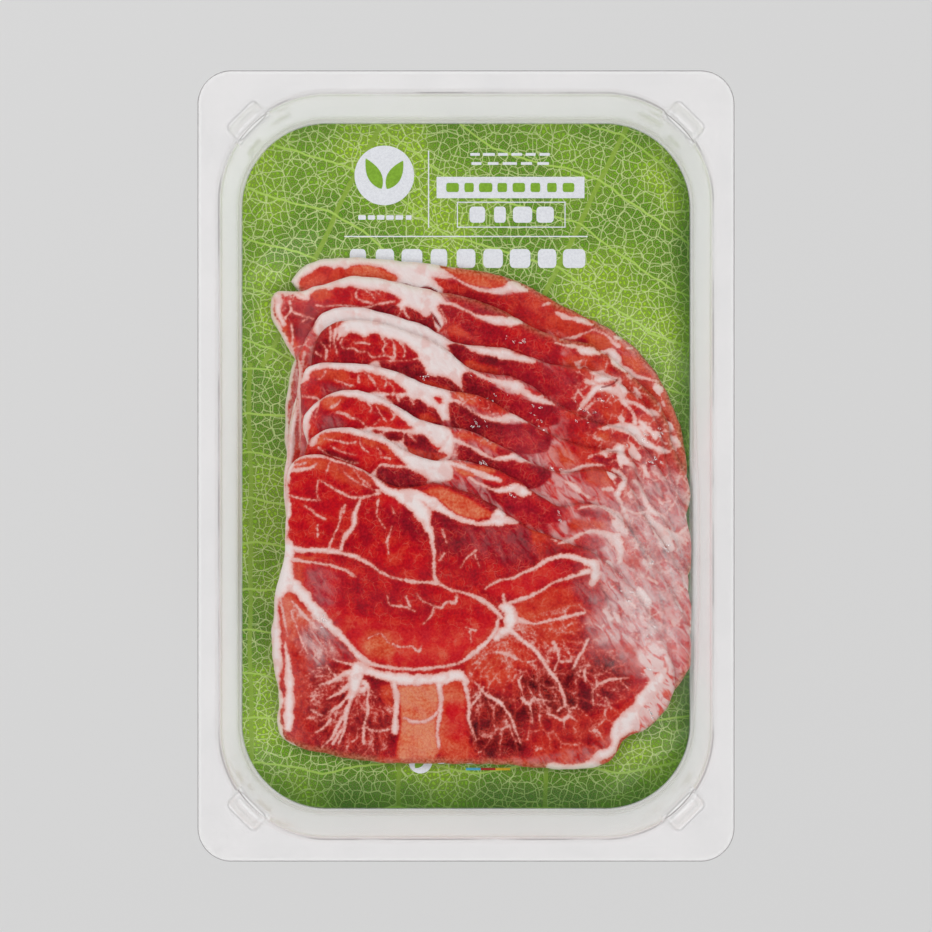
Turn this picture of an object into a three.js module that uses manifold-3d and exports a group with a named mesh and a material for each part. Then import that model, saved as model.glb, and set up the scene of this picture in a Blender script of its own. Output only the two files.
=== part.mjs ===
// A skin pack of sliced pork loin: a clear thermoformed tray with a wide flat rim, a printed liner card
// on its floor, eight thin slices laid overlapping like roof tiles, and the clear film drawn down over them.
//
// Millimetres. The origin is the middle of the tray's underside, +Z is up, +Y runs along the pack towards
// the end where the bare liner shows, and +X is to the right when the pack is seen from above.

import * as THREE from "three";
import { mergeVertices } from "three/addons/utils/BufferGeometryUtils.js";
import Module from "manifold-3d";

// ---- driving dimensions ----------------------------------------------------------------------------

const pack = { width: 150, length: 221, height: 25, cornerRadius: 9.5 };
const plastic = 0.6; // wall of the tray
const mouth = { halfX: 68.8, halfY: 104.05, radius: 30 }; // inner edge of the rim
const foot = { halfX: 64.6, halfY: 98.4, radius: 25, z: 1.6 }; // where the wall meets the floor's fillet
const fillet = 0.5; // how far the fillet comes in on the floor
const lip = { drop: 1, out: 0.35 }; // the bend where the wall turns out into the rim
const lug = { length: 10.5, width: 4.4, round: 1.5, depth: 6, outward: 1.4 }; // a pocket in each corner

const clearance = 0.3; // kept between pieces that lie on each other
const liner = { halfX: 63.8, halfY: 97.6, radius: 24.2, thickness: 0.5 };

const sliceThickness = 1.8;
const slicePitch = sliceThickness + clearance;
const drape = { start: 2.5, run: 12 }; // a slice comes down over this distance past the edge of one below
const wallLimit = 63.2; // the slices are pressed flat against the right-hand wall here
const grid = { halfX: 70, halfY: 105, columns: 17, rows: 25 }; // where all sheets have their vertices
const outlineSteps = 48;

const film = { thickness: 0.25, inset: 0.3 }; // the inset leaves a narrow strip of rim bare all round

const cornerSteps = 8; // in a quarter turn of the tray's corners
const lugSteps = 2;

const colours = {
  tray: 0xe4e7e6,
  liner: 0x6fa03a,
  film: 0xf2f5f5,
  pork: 0xb3272c,
};

const floorTop = plastic;
const linerTop = floorTop + clearance + liner.thickness;
const stackBase = linerTop + clearance;

// ---- the slices' outlines --------------------------------------------------------------------------

// The upper edge of each slice from left to right, back slice first. Only these edges show.
const upperEdges = [
  [[-50, 52.5], [-45, 57.6], [-35, 59.4], [-20, 58.6], [-5, 57], [13, 53.3], [27, 46], [44, 37], [56, 23.5],
    [62.5, 4]],
  [[-55.5, 43], [-54.5, 49.2], [-47, 49.8], [-31, 53.8], [-12, 50.6], [6, 46.2], [26, 36.4], [36, 34.4],
    [50, 23], [57, 14]],
  [[-44, 39], [-41, 43.2], [-35, 45.2], [-28, 44.7], [-12, 39.8], [-2, 34.8], [11, 33.6], [24, 29],
    [38, 26.4], [53, 15]],
  [[-42, 36], [-39, 39.8], [-33, 41.5], [-22, 40], [-8, 34.6], [2, 27.4], [15, 24.5], [26, 17.6],
    [36, 12.6], [46, 10]],
  [[-46.5, 24.5], [-45, 28], [-35, 29.3], [-22, 27.3], [-8, 22], [4, 19.8], [12, 15.6], [24, 9],
    [36, 4.8], [46, 3]],
  [[-46, 13], [-43, 17.5], [-35, 21.4], [-26, 20.2], [-12, 12.8], [2, 9.6], [12, 4.5], [26, -1.8],
    [38, -1], [46, -5]],
  [[-45.5, 4], [-42, 9.1], [-35, 10.9], [-24, 8.3], [-13, 2.6], [3, 0.8], [14.5, -4], [26, -11.4],
    [34, -10.6], [42, -13.5]],
  [[-50, -1], [-47.5, 1.9], [-41, 3.4], [-30, -0.6], [-19, -6], [-8, -5], [6, -10], [16, -16.4],
    [28, -21.5]],
];

// How far each slice lies from the front one, which shows all of its lower outline.
const offsets = [[3.5, 61], [4.5, 53], [3.5, 44.5], [6, 36.5], [4, 27], [5.5, 18], [5, 8.5], [0, 0]];

// The front slice's outline from the end of its upper edge, down the right side and back up the left.
const lowerOutline = [
  [36, -24.5], [45, -32], [54, -46], [59, -58], [58.5, -66], [52, -74.5], [45.5, -77.3], [40, -82],
  [30, -83.8], [5, -83], [-24, -83.2], [-36, -81.6], [-52, -76], [-53.4, -66], [-55.2, -52], [-54, -37],
  [-51.5, -27], [-50.6, -12],
];

const least = 2.5; // the lower outline starts this far below the upper edge's ends

function outlineOf(k) {
  const upper = upperEdges[k];
  const [shiftX, shiftY] = offsets[k];
  const first = upper[0];
  const last = upper[upper.length - 1];
  const middle = (first[0] + last[0]) / 2;
  const lower = lowerOutline
    .map(([x, y]) => [x + shiftX, y + shiftY])
    .filter(([x, y]) => y < (x > middle ? last[1] : first[1]) - least);
  const points = [...upper, ...lower].map(([x, y]) => new THREE.Vector3(Math.min(x, wallLimit), y, 0));
  const curve = new THREE.CatmullRomCurve3(points, true, "centripetal");
  return curve.getSpacedPoints(outlineSteps).slice(0, -1).map((p) => [Math.min(p.x, wallLimit), p.y]);
}

const outlines = upperEdges.map((_, k) => outlineOf(k));

// Distance from a point to a closed outline, negative inside it.
function signedDistance(outline, x, y) {
  let nearest = Infinity;
  let inside = false;
  for (let i = 0, j = outline.length - 1; i < outline.length; j = i++) {
    const [ax, ay] = outline[j];
    const [bx, by] = outline[i];
    const along = ((x - ax) * (bx - ax) + (y - ay) * (by - ay)) / ((bx - ax) ** 2 + (by - ay) ** 2);
    const t = THREE.MathUtils.clamp(along, 0, 1);
    nearest = Math.min(nearest, Math.hypot(x - ax - t * (bx - ax), y - ay - t * (by - ay)));
    if (ay > y !== by > y && x < ax + ((y - ay) / (by - ay)) * (bx - ax)) inside = !inside;
  }
  return inside ? -nearest : nearest;
}

// 1 on a slice and just past its edge, then down to 0 as whatever lies over it comes down.
function presence(k, x, y) {
  const past = signedDistance(outlines[k], x, y) - drape.start;
  return 1 - THREE.MathUtils.smoothstep(past, 0, drape.run);
}

// Height of the first `count` slices at a point, above the liner.
function stackHeight(count, x, y) {
  let height = 0;
  for (let k = 0; k < count; k++) height += slicePitch * presence(k, x, y);
  return height;
}

// ---- mesh helpers ----------------------------------------------------------------------------------

const wasm = await Module();
wasm.setup();

function geometryOf(positions, triangles) {
  const geometry = new THREE.BufferGeometry();
  geometry.setAttribute("position", new THREE.BufferAttribute(new Float32Array(positions), 3));
  geometry.setIndex(triangles);
  return geometry;
}

function solidOf(geometry) {
  const bare = geometry.clone();
  bare.deleteAttribute("normal");
  bare.deleteAttribute("uv");
  const merged = mergeVertices(bare, 1e-4);
  return new wasm.Manifold(
    new wasm.Mesh({
      numProp: 3,
      vertProperties: merged.attributes.position.array,
      triVerts: new Uint32Array(merged.index.array),
    }),
  );
}

function meshOf(name, solid, colour, roughness, opacity = 1) {
  const made = solid.getMesh();
  const geometry = geometryOf(made.vertProperties, Array.from(made.triVerts));
  const material = new THREE.MeshStandardMaterial({
    color: colour,
    roughness,
    metalness: 0,
    opacity,
    transparent: opacity < 1,
  });
  const mesh = new THREE.Mesh(geometry, material);
  mesh.name = name;
  return mesh;
}

// A rectangle with round corners as a THREE.Shape.
function roundedShape(halfX, halfY, radius) {
  const shape = new THREE.Shape();
  shape.absarc(halfX - radius, halfY - radius, radius, 0, Math.PI / 2);
  shape.absarc(radius - halfX, halfY - radius, radius, Math.PI / 2, Math.PI);
  shape.absarc(radius - halfX, radius - halfY, radius, Math.PI, 1.5 * Math.PI);
  shape.absarc(halfX - radius, radius - halfY, radius, 1.5 * Math.PI, 2 * Math.PI);
  shape.closePath();
  return shape;
}

function plate(halfX, halfY, radius, z0, z1) {
  const options = { depth: z1 - z0, bevelEnabled: false, curveSegments: cornerSteps };
  return solidOf(new THREE.ExtrudeGeometry(roundedShape(halfX, halfY, radius), options).translate(0, 0, z0));
}

// The corner points of a rounded rectangle, the same number for every size, so that rings can be lofted.
function ringPoints({ halfX, halfY, radius }) {
  const points = [];
  for (const [sx, sy, start] of [[1, 1, 0], [-1, 1, 1], [-1, -1, 2], [1, -1, 3]]) {
    for (let i = 0; i <= cornerSteps; i++) {
      const angle = ((start + i / cornerSteps) * Math.PI) / 2;
      points.push([
        sx * (halfX - radius) + radius * Math.cos(angle),
        sy * (halfY - radius) + radius * Math.sin(angle),
      ]);
    }
  }
  return points;
}

// A closed solid through rounded rectangles that are stacked from the lowest up.
function loft(levels) {
  const rings = levels.map(ringPoints);
  const n = rings[0].length;
  const positions = rings.flatMap((ring, level) => ring.flatMap(([x, y]) => [x, y, levels[level].z]));
  const triangles = [];
  for (let level = 0; level + 1 < rings.length; level++) {
    for (let i = 0; i < n; i++) {
      const a = level * n + i;
      const b = level * n + ((i + 1) % n);
      triangles.push(a, b, b + n, a, b + n, a + n);
    }
  }
  const low = positions.length / 3;
  positions.push(0, 0, levels[0].z, 0, 0, levels[levels.length - 1].z);
  const lastRing = (rings.length - 1) * n;
  for (let i = 0; i < n; i++) {
    const next = (i + 1) % n;
    triangles.push(low, next, i, low + 1, lastRing + i, lastRing + next);
  }
  return solidOf(geometryOf(positions, triangles));
}

// ---- the tray --------------------------------------------------------------------------------------

// A rounded rectangle grown by `grow` to all sides, as one level of a loft.
function level({ halfX, halfY, radius }, grow, z) {
  return { halfX: halfX + grow, halfY: halfY + grow, radius: radius + grow, z };
}

// The wall's profile from its foot up to the rim's upper side.
function wallLevels(grow, low, top) {
  return [
    level(foot, grow, low),
    level(mouth, grow - lip.out, pack.height - lip.drop),
    level(mouth, grow + lip.out, top),
  ];
}

const diagonals = [[1, 1], [-1, 1], [-1, -1], [1, -1]];

// The pocket that keeps stacked trays apart, on the diagonal of one corner, open at `top`.
function lugSolid([signX, signY], grow, top) {
  const shape = roundedShape(lug.length / 2 + grow, lug.width / 2 + grow, lug.round + grow);
  const bottom = pack.height - lug.depth - grow;
  const options = { depth: top - bottom, bevelEnabled: false, curveSegments: lugSteps };
  const reach = (mouth.radius + lug.outward) * Math.SQRT1_2;
  const x = signX * (mouth.halfX - mouth.radius + reach);
  const y = signY * (mouth.halfY - mouth.radius + reach);
  const geometry = new THREE.ExtrudeGeometry(shape, options);
  return solidOf(geometry.rotateZ((-signX * signY * Math.PI) / 4).translate(x, y, bottom));
}

function withLugs(solid, grow, top) {
  return diagonals.reduce((sum, diagonal) => sum.add(lugSolid(diagonal, grow, top)), solid);
}

function traySolid() {
  const { height } = pack;
  const outside = [level(foot, plastic - fillet, 0), ...wallLevels(plastic, foot.z, height)];
  const inside = [level(foot, -fillet, floorTop), ...wallLevels(0, foot.z, height)];
  const rim = plate(pack.width / 2, pack.length / 2, pack.cornerRadius, height - plastic, height);
  return withLugs(loft(outside), plastic, height)
    .add(rim)
    .subtract(withLugs(loft(inside), 0, height + 1));
}

// ---- the slices ------------------------------------------------------------------------------------

// A slab over the whole grid, lying on the first `count` slices. Every slab has its vertices over the
// same points, so that a slice never cuts into the one under it.
function slabSolid(count, thickness) {
  const { halfX, halfY, columns, rows } = grid;
  const positions = [];
  const across = columns + 1;
  const layer = across * (rows + 1);
  for (const rise of [thickness, 0]) {
    for (let row = 0; row <= rows; row++) {
      for (let column = 0; column <= columns; column++) {
        const x = THREE.MathUtils.lerp(-halfX, halfX, column / columns);
        const y = THREE.MathUtils.lerp(-halfY, halfY, row / rows);
        positions.push(x, y, stackBase + stackHeight(count, x, y) + rise);
      }
    }
  }
  const triangles = [];
  const quad = (a, b, c, d) => triangles.push(a, b, c, a, c, d);
  const side = (a, b) => quad(a, layer + a, layer + b, b);
  for (let row = 0; row < rows; row++) {
    for (let column = 0; column < columns; column++) {
      const a = row * across + column;
      quad(a, a + 1, a + 1 + across, a + across);
      quad(layer + a, layer + a + across, layer + a + 1 + across, layer + a + 1);
    }
    side((row + 1) * across, row * across);
    side(row * across + columns, (row + 1) * across + columns);
  }
  for (let column = 0; column < columns; column++) {
    side(column, column + 1);
    side(rows * across + column + 1, rows * across + column);
  }
  return solidOf(geometryOf(positions, triangles));
}

function sliceSolid(k) {
  const shape = new THREE.Shape(outlines[k].map(([x, y]) => new THREE.Vector2(x, y)));
  const prism = new THREE.ExtrudeGeometry(shape, { depth: 2 * pack.height, bevelEnabled: false });
  return slabSolid(k, sliceThickness).intersect(solidOf(prism));
}

// ---- the film --------------------------------------------------------------------------------------

// The film lies on the food and the liner, clings to the walls and is sealed to the rim.
function filmSolid() {
  const underside = pack.height + clearance;
  const top = underside + film.thickness;
  const edge = [pack.width / 2 - film.inset, pack.length / 2 - film.inset, pack.cornerRadius];
  const seal = plate(...edge, underside, top);
  const well = loft(wallLevels(-clearance, stackBase, underside));
  const hollow = loft(wallLevels(-clearance - film.thickness, stackBase, top + 1));
  const sheet = slabSolid(outlines.length, film.thickness).intersect(well);
  return withLugs(well, -clearance, underside)
    .add(seal)
    .subtract(withLugs(hollow, -clearance - film.thickness, top + 1))
    .add(sheet);
}

// ---- the pack --------------------------------------------------------------------------------------

const root = new THREE.Group();
const food = new THREE.Group();

root.add(meshOf("tray", traySolid(), colours.tray, 0.25, 0.45));

const card = plate(liner.halfX, liner.halfY, liner.radius, floorTop + clearance, linerTop);
root.add(meshOf("liner", card, colours.liner, 0.5));

outlines.forEach((_, k) => food.add(meshOf(`slice_${k + 1}`, sliceSolid(k), colours.pork, 0.35)));
root.add(food);

root.add(meshOf("film", filmSolid(), colours.film, 0.1, 0.15));

export default root;
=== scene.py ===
import bmesh
import bpy
import numpy as np
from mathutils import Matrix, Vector


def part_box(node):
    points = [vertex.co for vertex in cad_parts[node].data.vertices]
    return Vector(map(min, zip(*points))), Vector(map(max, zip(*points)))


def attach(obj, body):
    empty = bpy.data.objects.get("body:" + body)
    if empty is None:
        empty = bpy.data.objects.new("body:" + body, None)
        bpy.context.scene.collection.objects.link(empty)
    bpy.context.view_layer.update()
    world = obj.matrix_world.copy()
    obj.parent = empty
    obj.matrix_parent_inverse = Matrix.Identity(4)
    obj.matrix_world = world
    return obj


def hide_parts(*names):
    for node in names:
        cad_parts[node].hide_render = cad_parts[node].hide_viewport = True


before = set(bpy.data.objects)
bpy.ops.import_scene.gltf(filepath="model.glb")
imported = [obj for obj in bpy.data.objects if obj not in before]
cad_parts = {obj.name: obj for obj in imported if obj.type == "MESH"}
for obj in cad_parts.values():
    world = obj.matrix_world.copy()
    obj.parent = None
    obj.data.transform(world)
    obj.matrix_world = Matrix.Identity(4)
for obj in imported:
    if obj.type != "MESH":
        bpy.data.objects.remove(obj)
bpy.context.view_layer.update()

# A skin pack of sliced pork loin: clear tray, printed card, eight draped slices and tight film.
# Sizes are in millimetres, and a mesh gets metres when it is made. The view is straight down,
# with +X to the right and +Y up the picture.

mm = 0.001


def nodeBox(name):
    low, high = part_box(name)
    return np.array(low) / mm, np.array(high) / mm


trayLow, trayHigh = nodeBox("tray")
linerLow, linerHigh = nodeBox("liner")


# Numbers

def smooth(low, high, value):
    t = np.clip((value - low) / (high - low), 0, 1)
    return t * t * (3 - 2 * t)


def noise(x, y, size, seed):
    # Gradient noise between about -1 and 1, with bumps `size` mm wide
    turns = np.random.default_rng(seed).random((61, 61)) * 2 * np.pi
    px, py = np.asarray(x, float) / size, np.asarray(y, float) / size
    ix, iy = np.floor(px).astype(int), np.floor(py).astype(int)
    fx, fy = px - ix, py - iy
    ux, uy = smooth(0, 1, fx), smooth(0, 1, fy)

    def corner(dx, dy):
        turn = turns[(ix + dx) % 61, (iy + dy) % 61]
        return np.cos(turn) * (fx - dx) + np.sin(turn) * (fy - dy)

    low = corner(0, 0) * (1 - ux) + corner(1, 0) * ux
    high = corner(0, 1) * (1 - ux) + corner(1, 1) * ux
    return 1.5 * (low * (1 - uy) + high * uy)


def fractal(x, y, size, seed, octaves=3):
    total = 0
    for octave in range(octaves):
        total = total + noise(x, y, size / 2 ** octave, seed + 13 * octave) / 2 ** octave
    return total


def cellEdges(u, v, seed):
    # How far a point is from the border between the two nearest of a scatter of cells, in cell widths
    jitter = np.random.default_rng(seed).random((89, 89, 2))
    iu, iv = np.floor(u).astype(int), np.floor(v).astype(int)
    first, second = np.full(u.shape, 9.0), np.full(u.shape, 9.0)
    for du in (-1, 0, 1):
        for dv in (-1, 0, 1):
            spot = jitter[(iu + du) % 89, (iv + dv) % 89]
            away = np.hypot(iu + du + spot[..., 0] - u, iv + dv + spot[..., 1] - v)
            second = np.minimum(second, np.maximum(first, away))
            first = np.minimum(first, away)
    return (second - first) / 2


def flowing(points, closed=False, steps=6):
    # A smooth curve through points of any width, by centripetal Catmull-Rom as in the part's own outlines
    points = np.asarray(points, float)
    count = len(points)
    if not closed:
        ends = [2 * points[0] - points[1], 2 * points[-1] - points[-2]]
        points = np.vstack([ends[0], points, ends[1]])
    made = []
    for i in range(count if closed else count - 1):
        a, b, c, d = (points[(i + j - closed) % len(points)] for j in range(4))
        gaps = [max(np.hypot(*(q - p)[:2]) ** 0.5, 1e-3) for p, q in ((a, b), (b, c), (c, d))]
        out = ((b - a) / gaps[0] - (c - a) / (gaps[0] + gaps[1]) + (c - b) / gaps[1]) * gaps[1]
        into = ((c - b) / gaps[1] - (d - b) / (gaps[1] + gaps[2]) + (d - c) / gaps[2]) * gaps[1]
        for t in np.arange(steps) / steps:
            made.append(b + out * t + (3 * (c - b) - 2 * out - into) * t ** 2
                        + (2 * (b - c) + out + into) * t ** 3)
    return np.array(made if closed else made + [points[-2]])


def evenly(points, gap):
    # The same closed curve with its points `gap` apart
    ring = np.vstack([points, points[:1]])
    along = np.append(0, np.cumsum(np.hypot(*np.diff(ring, axis=0).T)))
    at = np.linspace(0, along[-1], int(along[-1] / gap), endpoint=False)
    return np.column_stack([np.interp(at, along, ring[:, i]) for i in (0, 1)])


def signedDistance(outline, x, y):
    # Distance to a closed outline, negative inside it
    nearest = np.full(x.shape, 1e9)
    inside = np.zeros(x.shape, bool)
    for (ax, ay), (bx, by) in zip(outline, np.roll(outline, -1, axis=0)):
        ex, ey = bx - ax, by - ay
        t = np.clip(((x - ax) * ex + (y - ay) * ey) / (ex * ex + ey * ey), 0, 1)
        nearest = np.minimum(nearest, (x - ax - t * ex) ** 2 + (y - ay - t * ey) ** 2)
        crossed = (ay > y) != (by > y)
        if ay != by:
            inside ^= crossed & (x < ax + (y - ay) / (by - ay) * ex)
    return np.where(inside, -1, 1) * np.sqrt(nearest)


class Map:
    # Values on an even grid, read anywhere in between
    def __init__(self, low, high, step):
        self.low, self.step = np.array(low, float), step
        self.shape = tuple(int((h - l) / step) + 1 for l, h in zip(low, high))
        self.x, self.y = np.meshgrid(
            *(l + step * np.arange(n) for l, n in zip(low, self.shape)), indexing="ij")

    def read(self, values, x, y):
        u = np.clip((x - self.low[0]) / self.step, 0, self.shape[0] - 1.001)
        v = np.clip((y - self.low[1]) / self.step, 0, self.shape[1] - 1.001)
        i, j = u.astype(int), v.astype(int)
        fu, fv = u - i, v - j
        return ((values[i, j] * (1 - fu) + values[i + 1, j] * fu) * (1 - fv)
                + (values[i, j + 1] * (1 - fu) + values[i + 1, j + 1] * fu) * fv)

    def readSoft(self, values, x, y):
        # As read, but without a kink at the grid's lines, for what the light shows
        u = np.clip((x - self.low[0]) / self.step, 1, self.shape[0] - 2.001)
        v = np.clip((y - self.low[1]) / self.step, 1, self.shape[1] - 2.001)
        i, j = u.astype(int), v.astype(int)
        total = 0
        for du, wu in enumerate(splineWeights(u - i)):
            for dv, wv in enumerate(splineWeights(v - j)):
                total = total + wu * wv * values[np.minimum(i + du - 1, self.shape[0] - 1),
                                                 np.minimum(j + dv - 1, self.shape[1] - 1)]
        return total


def splineWeights(t):
    return ((1 - t) ** 3 / 6, (3 * t ** 3 - 6 * t ** 2 + 4) / 6,
            (-3 * t ** 3 + 3 * t ** 2 + 3 * t + 1) / 6, t ** 3 / 6)


# Meshes and materials

def meshPiece(name, points, faces, stands, material, sharp=None):
    # A piece from points in millimetres, which rides on the pack's one body
    mesh = bpy.data.meshes.new(name)
    loops = np.concatenate([np.ravel(f) for f in faces]).astype(np.int32)
    sizes = np.concatenate([np.full(len(f), f.shape[1]) if isinstance(f, np.ndarray) and f.ndim == 2
                            else [len(f)] for f in faces]).astype(np.int32)
    mesh.vertices.add(len(points))
    mesh.vertices.foreach_set("co", (np.asarray(points) * mm).astype(np.float32).ravel())
    mesh.loops.add(len(loops))
    mesh.loops.foreach_set("vertex_index", loops)
    mesh.polygons.add(len(sizes))
    mesh.polygons.foreach_set("loop_start", np.append(0, np.cumsum(sizes)[:-1]).astype(np.int32))
    mesh.polygons.foreach_set("loop_total", sizes)
    mesh.update(calc_edges=True)
    mesh.validate()
    mesh.shade_smooth()
    if sharp:
        mesh.set_sharp_from_angle(angle=np.radians(sharp))
    piece = bpy.data.objects.new(name, mesh)
    bpy.context.scene.collection.objects.link(piece)
    mesh.materials.append(material)
    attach(piece, "root")
    if stands:
        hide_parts(stands)
    return piece


def paintPoints(piece, name, values):
    layer = piece.data.attributes.new(name, "FLOAT_COLOR", "POINT")
    layer.data.foreach_set("color", np.column_stack(values).astype(np.float32).ravel())


def linear(hexColour):
    channels = [int(hexColour[i:i + 2], 16) / 255 for i in (1, 3, 5)]
    return [c / 12.92 if c <= 0.04045 else ((c + 0.055) / 1.055) ** 2.4 for c in channels] + [1]


def newMaterial(name):
    material = bpy.data.materials.new(name)
    material.use_nodes = True
    material.node_tree.nodes.clear()
    return material


def addNode(tree, kind, settings=None, *values, **named):
    # One node with its settings; each input gets a value, a "#hex" colour or another node to link from
    node = tree.nodes.new(("" if kind.startswith(("Geometry", "Function")) else "ShaderNode") + kind)
    for key, value in (settings or {}).items():
        if key == "stops":
            stops = node.color_ramp.elements
            while len(stops) < len(value):
                stops.new(1)
            for stop, (at, colour) in zip(stops, value):
                stop.position = at
                stop.color = linear(colour)
        else:
            setattr(node, key, value)
    for key, value in [*enumerate(values), *named.items()]:
        if value is None:
            continue
        socket = node.inputs[key if isinstance(key, int) else key.replace("_", " ")]
        if isinstance(value, bpy.types.Node):
            value = value.outputs[0]
        if isinstance(value, bpy.types.NodeSocket):
            tree.links.new(value, socket)
        else:
            socket.default_value = linear(value) if isinstance(value, str) else value
    return node


softly = {"interpolation_type": "SMOOTHSTEP"}  # a range that eases in and out
fromAbove = {"noise_dimensions": "2D"}  # noise that runs the same through any height


def inMillimetres(tree):
    where = addNode(tree, "TexCoord")
    return addNode(tree, "VectorMath", {"operation": "SCALE"}, where.outputs["Object"], Scale=1 / mm)


def paintedParts(tree, name):
    # The red, green and blue of a painted attribute
    painted = addNode(tree, "Attribute", {"attribute_name": name})
    return addNode(tree, "SeparateColor", None, painted.outputs["Color"]).outputs


def meshFrom(tree, inputs, values, source=None):
    # Runs a geometry tree once and returns its plain mesh
    holder = bpy.data.objects.new("holder", source or bpy.data.meshes.new("holder"))
    bpy.context.scene.collection.objects.link(holder)
    modifier = holder.modifiers.new("tree", "NODES")
    modifier.node_group = tree
    for name, value in values.items():
        modifier[inputs[name]] = value
    seen = holder.evaluated_get(bpy.context.evaluated_depsgraph_get())
    mesh = bpy.data.meshes.new_from_object(seen)
    holder.modifiers.remove(modifier)
    bpy.data.objects.remove(holder)
    return mesh


def joined(name, meshes, material):
    # One piece from several plain meshes, in metres
    build = bmesh.new()
    for mesh in meshes:
        build.from_mesh(mesh)
        bpy.data.meshes.remove(mesh)
    whole = bpy.data.meshes.new(name)
    build.to_mesh(whole)
    build.free()
    whole.materials.clear()
    whole.materials.append(material)
    for face in whole.polygons:
        face.material_index = 0
    piece = bpy.data.objects.new(name, whole)
    bpy.context.scene.collection.objects.link(piece)
    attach(piece, "root")
    return piece


# Floor, light and camera

studio = {
    "cameraHeight": 1100,  # over the rim, in mm
    "viewWidth": 260.3,  # what the picture spans at the rim's height
    "floor": "#E3E3E3",
    "floorReach": 3,  # metres
    "sideLight": 0.545,  # the pale surroundings; straight overhead it is dark, so flat film shows no glare
    "overhead": 0.03,
    "groundLight": 0.55,  # from below the floor's level
    "lampSize": 0.6,  # metres
    "lamps": (  # name, place in metres, watts
        ("lampBackLeft", (-0.6, 0.66, 0.85), 4.4),
        ("lampBackRight", (0.66, 0.6, 0.85), 2.6),
        ("lampFrontRight", (0.6, -0.66, 0.85), 2.8),
        ("lampFrontLeft", (-0.66, -0.6, 0.85), 2.6),
    ),
}


def buildStudio():
    camera = bpy.data.objects.new("camera", bpy.data.cameras.new("camera"))
    camera.data.sensor_width = 36
    camera.data.lens = 36 * studio["cameraHeight"] / studio["viewWidth"]
    camera.location = (0, 0, (trayHigh[2] + studio["cameraHeight"]) * mm)
    camera.data.clip_start, camera.data.clip_end = 0.01, 20
    bpy.context.scene.collection.objects.link(camera)
    bpy.context.scene.camera = camera

    floorMesh = bpy.data.meshes.new("floor")
    reach = studio["floorReach"]
    corners = [(-reach, -reach, 0), (reach, -reach, 0), (reach, reach, 0), (-reach, reach, 0)]
    floorMesh.from_pydata(corners, [], [(0, 1, 2, 3)])
    floor = bpy.data.objects.new("floor", floorMesh)
    bpy.context.scene.collection.objects.link(floor)
    paper = newMaterial("pale paper sweep")
    tree = paper.node_tree
    shade = addNode(tree, "BsdfDiffuse", None, studio["floor"])
    addNode(tree, "OutputMaterial", None, shade)
    floorMesh.materials.append(paper)

    world = bpy.data.worlds.new("studio")
    bpy.context.scene.world = world
    world.use_nodes = True
    tree = world.node_tree
    tree.nodes.clear()
    where = addNode(tree, "TexCoord")
    height = addNode(tree, "SeparateXYZ", None, where.outputs["Generated"])
    steps = addNode(tree, "MapRange", softly, height.outputs["Z"], 0.62, 0.92,
                    studio["sideLight"], studio["overhead"])
    ground = addNode(tree, "MapRange", softly, height.outputs["Z"], -0.05, 0.05, studio["groundLight"], 1)
    power = addNode(tree, "Math", {"operation": "MULTIPLY"}, steps, ground)
    sky = addNode(tree, "Background", None, "#FFFFFF", power)
    addNode(tree, "OutputWorld", None, sky)

    # Four soft lamps well off the vertical: they glint on creases, edges and the tray's walls
    for name, place, watts in studio["lamps"]:
        lamp = bpy.data.objects.new(name, bpy.data.lights.new(name, "AREA"))
        lamp.data.size = studio["lampSize"]
        lamp.data.energy = watts
        lamp.location = place
        lamp.rotation_mode = "QUATERNION"
        lamp.rotation_quaternion = (-Vector(place)).to_track_quat("-Z", "Y")
        bpy.context.scene.collection.objects.link(lamp)
    bpy.context.scene.view_settings.view_transform = "Standard"
    print("studio ready")


buildStudio()


# Rings of rounded rectangles, which the tray, the card and the film share

ringSteps = {"corner": 96, "alongX": 26, "alongY": 38}


def ring(halfX, halfY, radius):
    # Points and outward directions of a rounded rectangle, anticlockwise from the middle of its right side
    points, outward = [], []
    flatX, flatY = halfX - radius, halfY - radius
    for turn, (sx, sy) in enumerate(((1, 1), (-1, 1), (-1, -1), (1, -1))):
        angles = (turn + np.arange(ringSteps["corner"] + 1) / ringSteps["corner"]) * np.pi / 2
        way = np.column_stack([np.cos(angles), np.sin(angles)])
        points.append(np.array([sx * flatX, sy * flatY]) + radius * way)
        outward.append(way)
        count = ringSteps["alongX" if turn % 2 == 0 else "alongY"]
        follow = ((-1, 1), (-1, -1), (1, -1), (1, 1))[turn]
        nextStart = np.array([follow[0] * flatX, follow[1] * flatY]) + radius * way[-1]
        t = (np.arange(1, count) / count)[:, None]
        points.append(points[-1][-1] * (1 - t) + nextStart * t)
        outward.append(np.repeat(way[-1:], count - 1, axis=0))
    return np.vstack(points), np.vstack(outward)


def ringFaces(first, second, count):
    # Quads from one ring of points to the next one inwards, facing up
    here = np.arange(count)
    after = (here + 1) % count
    return np.column_stack([first + here, first + after, second + after, second + here])


# The tray

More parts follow.
